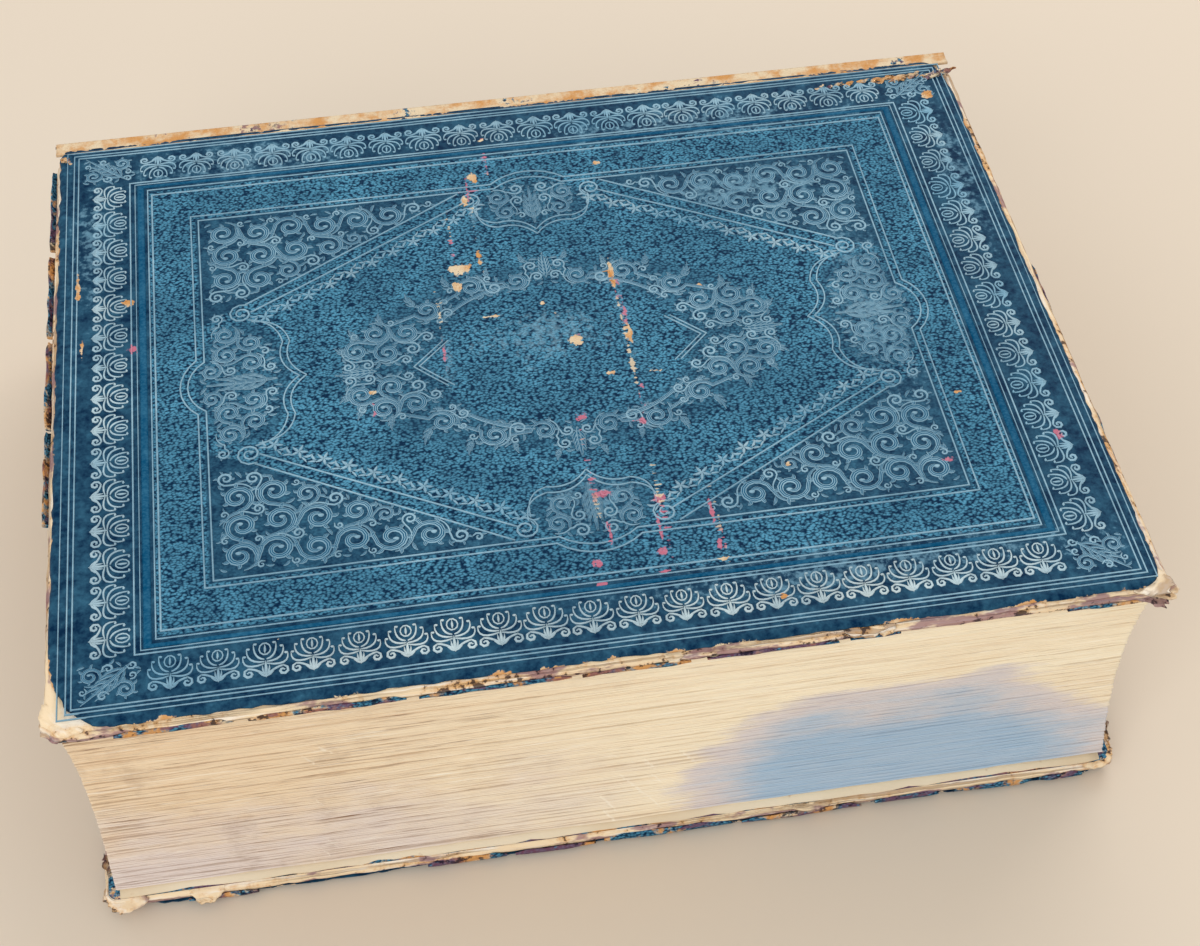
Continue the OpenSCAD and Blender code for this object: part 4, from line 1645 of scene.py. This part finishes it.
for number, (node, body) in enumerate(looseLeaves["bodies"].items()):
    makeLeaf(node, body, number)
print("loose leaves laid")


# the leather over the spine: rounded, with raised bands, torn at its head
spine = {
    "bands": (-106, -53, 0, 53, 106),
    "bandRise": 2.3,
    "bandHalf": 5.2,
    "thickness": 1.15,
    "stepsAlong": 190,
    "stepsRound": 44,
}


def spineRise(x):
    rise = np.zeros(np.shape(x))
    for middle in spine["bands"]:
        rise = np.maximum(rise, smooth((spine["bandHalf"] - np.abs(x - middle)) / 2.4))
    return rise * spine["bandRise"]


def spineFace(x, along, out):
    # along runs from -1 at the foot of the spine to 1 at its top; out is how far outside the leather's face
    share = np.clip(along, -1, 1)
    power = block["bendPower"]
    slope = block["spineRound"] * power * np.abs(share) ** (power - 1) * np.sign(share) / midZ
    length = np.hypot(1, slope)
    y = spineY(0, share) + out / length
    z = midZ + midZ * share + out * slope / length
    return together(x, y, z)


def makeSpine():
    x = np.linspace(-halfLength, halfLength, spine["stepsAlong"])
    steps = spine["stepsRound"]
    along = np.sin(np.linspace(-math.pi / 2, math.pi / 2, steps)) * 0.5 + np.linspace(-1, 1, steps) * 0.5
    gridX, gridA = np.meshgrid(x, along, indexing="ij")
    fade = smooth((1 - np.abs(gridA)) / 0.10)
    out = spineRise(gridX) * fade + 0.12 * waves(gridX, gridA * 40, 14, 81)
    # the head has torn short and curls
    torn = np.clip((gridX - (halfLength - 7)) / 7, 0, 1)
    gridX = gridX - torn * np.clip(2.6 + 2.6 * waves(gridA * 30, gridX * 0, 7, 83), 0, 5)
    tail = np.clip((-gridX - (halfLength - 6)) / 6, 0, 1)
    gridX = gridX + tail * np.clip(1.0 + 1.4 * waves(gridA * 30, gridX * 0, 6, 85), 0, 3)
    outer = spineFace(gridX, gridA, out - 0.05)
    inner = spineFace(gridX, gridA, np.maximum(out - spine["thickness"], -spine["thickness"]))
    inner[..., 2] = np.clip(inner[..., 2], 1.0, topZ - 1.0)
    outer[..., 2] = np.clip(outer[..., 2], 0.6, topZ - 0.6)
    points, faces = sheetShell(outer, inner)
    edge = np.clip(1 - (1 - np.abs(gridA)) / 0.05, 0, 1)
    wear = np.maximum(edge * (0.55 + 0.4 * waves(gridX, gridA, 9, 87)), 0.9 * np.maximum(torn, tail) ** 2)
    wear = np.maximum(wear, 0.42 * (spineRise(gridX) / spine["bandRise"]) ** 3 * fade)
    scuff = 0.35 + 0.3 * waves(gridX, gridA * 40, 30, 89)
    marks = {"wear": np.tile(wear.ravel(), 2), "scuff": np.tile(scuff.ravel(), 2)}
    piece = makePiece("spineLeatherRound", points, faces, coverLeatherFinish, marks, flip=True)
    return settle(piece, "text_block", "blue_leather", "spine_leather")


makeSpine()

spineStrokes = []
for middle in spine["bands"]:
    for side in (-1, 1):
        for gap in (2.6, 4.4):
            spot = middle + side * (spine["bandHalf"] + gap)
            line(spineStrokes, np.stack([np.full(30, spot), np.linspace(-42, 42, 30)], -1), 0.6)
panelMotif = []
fillRegion(panelMotif, lambda x, y: np.minimum.reduce([oval(x, y, 0, 0, 18, 33), x - 0.1, y - 0.1]),
           (0, 18, 0, 33), 4.4, 0.95, keep=[(0, 0, 2.2), (0, 28, 1.5)])
spray(panelMotif, 0.1, 0.4, math.pi / 2, 12, 0, 4, 1.5)
panels = [(left + right) / 2 for left, right in zip(spine["bands"][:-1], spine["bands"][1:])]
for middle in [-134.5] + panels + [134.5]:
    for stroke in fourWays(panelMotif):
        stroke["path"] = stroke["path"] * (0.86 if abs(middle) > 130 else 1.0, 1) + (middle, 0)
        spineStrokes.append(stroke)


def onSpine(x, y, z):
    out = z + 0.12 * waves(x, y, 14, 81) + spineRise(x)
    return spineFace(x, y / midZ, out)


points, faces, marks = ribbons(spineStrokes, onSpine)
for kind in wornSpots:
    marks[kind] = marks[kind] * 0
settle(makePiece("spineTooling", points, faces, toolingFinish, marks, flip=True), "text_block",
       "blue_leather")
print("spine covered and tooled")


# torn leather that stands up along the back of the cover, at the head;
# it turns with the cover and clears the spine
headCap = {
    "pieces": 13,
    "from": 104,
    "to": 150,
    "thickness": 0.35,
    "fromAxis": (8.4, 9.8),
    "sunk": 0.4,
    "length": (5, 9),
    "width": (2.0, 3.0),
    "lift": (0.6, 1.05),
    "ragged": 0.7,
}
tear = random.Random(19)
capShells = []
for number in range(headCap["pieces"]):
    share = number / (headCap["pieces"] - 1)
    place = (headCap["from"] + (headCap["to"] - headCap["from"]) * share,
             axisY - tear.uniform(*headCap["fromAxis"]), topZ - headCap["sunk"])
    size = (tear.uniform(*headCap["length"]) + 3 * share, tear.uniform(*headCap["width"]))
    capShells.append(flap(place, tear.uniform(0, 10), (0.9 + 2.7 * share) * tear.uniform(*headCap["lift"]),
                          size, number, headCap["thickness"], headCap["ragged"]))
# a single torn tongue at the tail
capShells.append(flap((-150, axisY - 6.0, topZ - headCap["sunk"]), 186, 1.4, (7.0, 4.0), 19, 0.5, 0.8))
points, faces = joinShells(capShells)
marks = {"wear": 0.7 + 0.4 * waves(points[:, 0], points[:, 1], 4, 91), "scuff": np.full(len(points), 0.3)}
settle(makePiece("tornHeadCap", points, faces, frayedLeatherFinish, marks), "front_cover", "blue_leather")


# the leather over each joint, cracked to its fibres
joints = {
    "from": coverBackY + 0.6,
    "to": axisY + 3.4,
    "thickness": 0.9,
    "steps": (220, 12),
    "dip": 0.35,
    "inset": 0.6,
    "crackFine": 0.15,
    "crackBroad": 0.22,
    "bendHalf": 1.6,
}


def makeJoint(name, mirrored, seed, node):
    x = np.linspace(-halfLength + joints["inset"], halfLength - joints["inset"], joints["steps"][0])
    y = np.linspace(joints["from"], joints["to"], joints["steps"][1])
    gridX, gridY = np.meshgrid(x, y, indexing="ij")
    across = (gridY - y[0]) / (y[-1] - y[0])
    dip = joints["dip"] * np.sin(across * math.pi)
    crack = joints["crackBroad"] * waves(gridX, gridY * 3, 3.2, seed)
    crack = crack + joints["crackFine"] * waves(gridX, gridY, 1.4, seed + 1)
    top = topZ - 0.05 - dip + crack * np.sin(across * math.pi)
    bottom = top - joints["thickness"]
    outer, inner = (topZ - top, topZ - bottom) if mirrored else (top, bottom)
    points, faces = sheetShell(together(gridX, gridY, outer), together(gridX, gridY, inner))
    wear = 1.12 + 0.45 * waves(gridX, gridY, 13, seed + 2)
    marks = {"wear": np.tile(wear.ravel(), 2), "scuff": np.full(len(points), 0.5)}
    piece = makePiece(name, points, faces, frayedLeatherFinish, marks, flip=mirrored)
    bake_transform(piece)
    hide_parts(node)
    return piece


makeJoint("frontJointStrip", False, 95, "front_joint_leather")
makeJoint("rearJointStrip", True, 97, "rear_joint_leather")
print("joints covered")


# the end bands: silk wound round a core, worked over the ends of the spine
endBand = {
    "core": 1.05,
    "pitch": 0.78,
    "thread": 0.3,
    "threadHalf": 0.42,
    "oval": 1.5,
    "ringSteps": 10,
    "threadSteps": 5,
    "inset": 0.6,
    "size": 1.0,
    "sizeChange": 0.03,
    "seed": 3,
}


def makeEndBand(name, node):
    low, high = boxOf(node)
    half = (high[2] - low[2]) / 2 - endBand["inset"]
    middleX = (low[0] + high[0]) / 2
    count = int(2 * half / endBand["pitch"])
    shares = np.linspace(-1, 1, count)
    z = midZ + shares * half
    y = spineY(block["spineDepth"] + 1.6, shares * half / midZ)
    slope = np.gradient(y) / np.gradient(z)
    # one ring of thread, lying in its own plane
    ringTurns = np.linspace(0, 2 * math.pi, endBand["ringSteps"] + 1)[:-1]
    tubeTurns = np.linspace(0, 2 * math.pi, endBand["threadSteps"] + 1)[:-1]
    rings = []
    for turn in tubeTurns:
        reach = endBand["core"] + endBand["thread"] * np.cos(turn)
        along = np.full(len(ringTurns), -endBand["threadHalf"] * np.sin(turn))
        rings.append(together(reach * np.cos(ringTurns), endBand["oval"] * reach * np.sin(ringTurns), along))
    points, faces = loopShell(rings, hollow=True)
    places = together(np.full(count, middleX), y, z)
    turns = np.stack([np.arctan(-slope), np.zeros(count), np.zeros(count)], -1)
    wound = repeated(name, (points, faces, {}), places, turns, endBand, silkFinish)
    return settle(wound, "text_block", "headband_thread", node)


makeEndBand("headbandWound", "headband")
makeEndBand("tailbandWound", "tailband")
print("end bands wound")


# the hidden layers keep their shape and get their own finishes
hiddenFinishes = {
    "spine_lining": liningFinish,
    "spine_mull": mullFinish,
    "spine_glue": oldGlueFinish,
    "sewing_tape": tapeFinish,
    "raised_band": wornBoardFinish,
}
for name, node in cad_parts.items():
    for start, finish in hiddenFinishes.items():
        if name.startswith(start):
            for slotPlace in node.material_slots:
                slotPlace.material = finish


# pale floor and soft studio light
studio = {
    "floor": rgb(222, 208, 190),
    "world": 0.72,
    "worldColour": (1.0, 0.985, 0.965),
    "floorHalf": 20000,
    "floorZ": -0.45,
    "key": {"place": (0.5, 0.9, 1.1), "size": (1.2, 0.8), "power": 8.0, "colour": (1.0, 0.97, 0.93)},
    "fill": {"place": (-0.7, -1.1, 0.9), "size": (1.0, 1.0), "power": 9.0, "colour": (0.95, 0.98, 1.0)},
    "aim": (0, 0, 0.05),
}
floorFinish, wire, place = newFinish("paleFloor")
cloud = place.noise(2.0, 3.0)
closeFinish(wire, (cloud * 0.12).mix(studio["floor"], rgb(214, 198, 178)), 0.85)
floorHalf, floorZ = studio["floorHalf"], studio["floorZ"]
floor = makePiece("floor", [(-floorHalf, -floorHalf, floorZ), (floorHalf, -floorHalf, floorZ),
                            (floorHalf, floorHalf, floorZ), (-floorHalf, floorHalf, floorZ)],
                            [(0, 1, 2, 3)], floorFinish)

bpy.context.scene.view_settings.view_transform = "Standard"
world = bpy.data.worlds.new("studioSky")
world.use_nodes = True
world.node_tree.nodes["Background"].inputs["Color"].default_value = (*studio["worldColour"], 1.0)
world.node_tree.nodes["Background"].inputs["Strength"].default_value = studio["world"]
bpy.context.scene.world = world


def softLight(name, place, size, power, colour):
    light = bpy.data.lights.new(name, "AREA")
    light.shape = "RECTANGLE"
    light.size, light.size_y = size
    light.energy = power
    light.color = colour
    lamp = bpy.data.objects.new(name, light)
    lamp.location = place
    aim = np.array(studio["aim"]) - np.array(place)
    flat = math.hypot(aim[0], aim[1])
    lamp.rotation_euler = (math.atan2(flat, -aim[2]), 0, math.atan2(aim[1], aim[0]) - math.pi / 2)
    bpy.context.scene.collection.objects.link(lamp)


softLight("keyLight", **studio["key"])
softLight("fillLight", **studio["fill"])
print("studio lit")
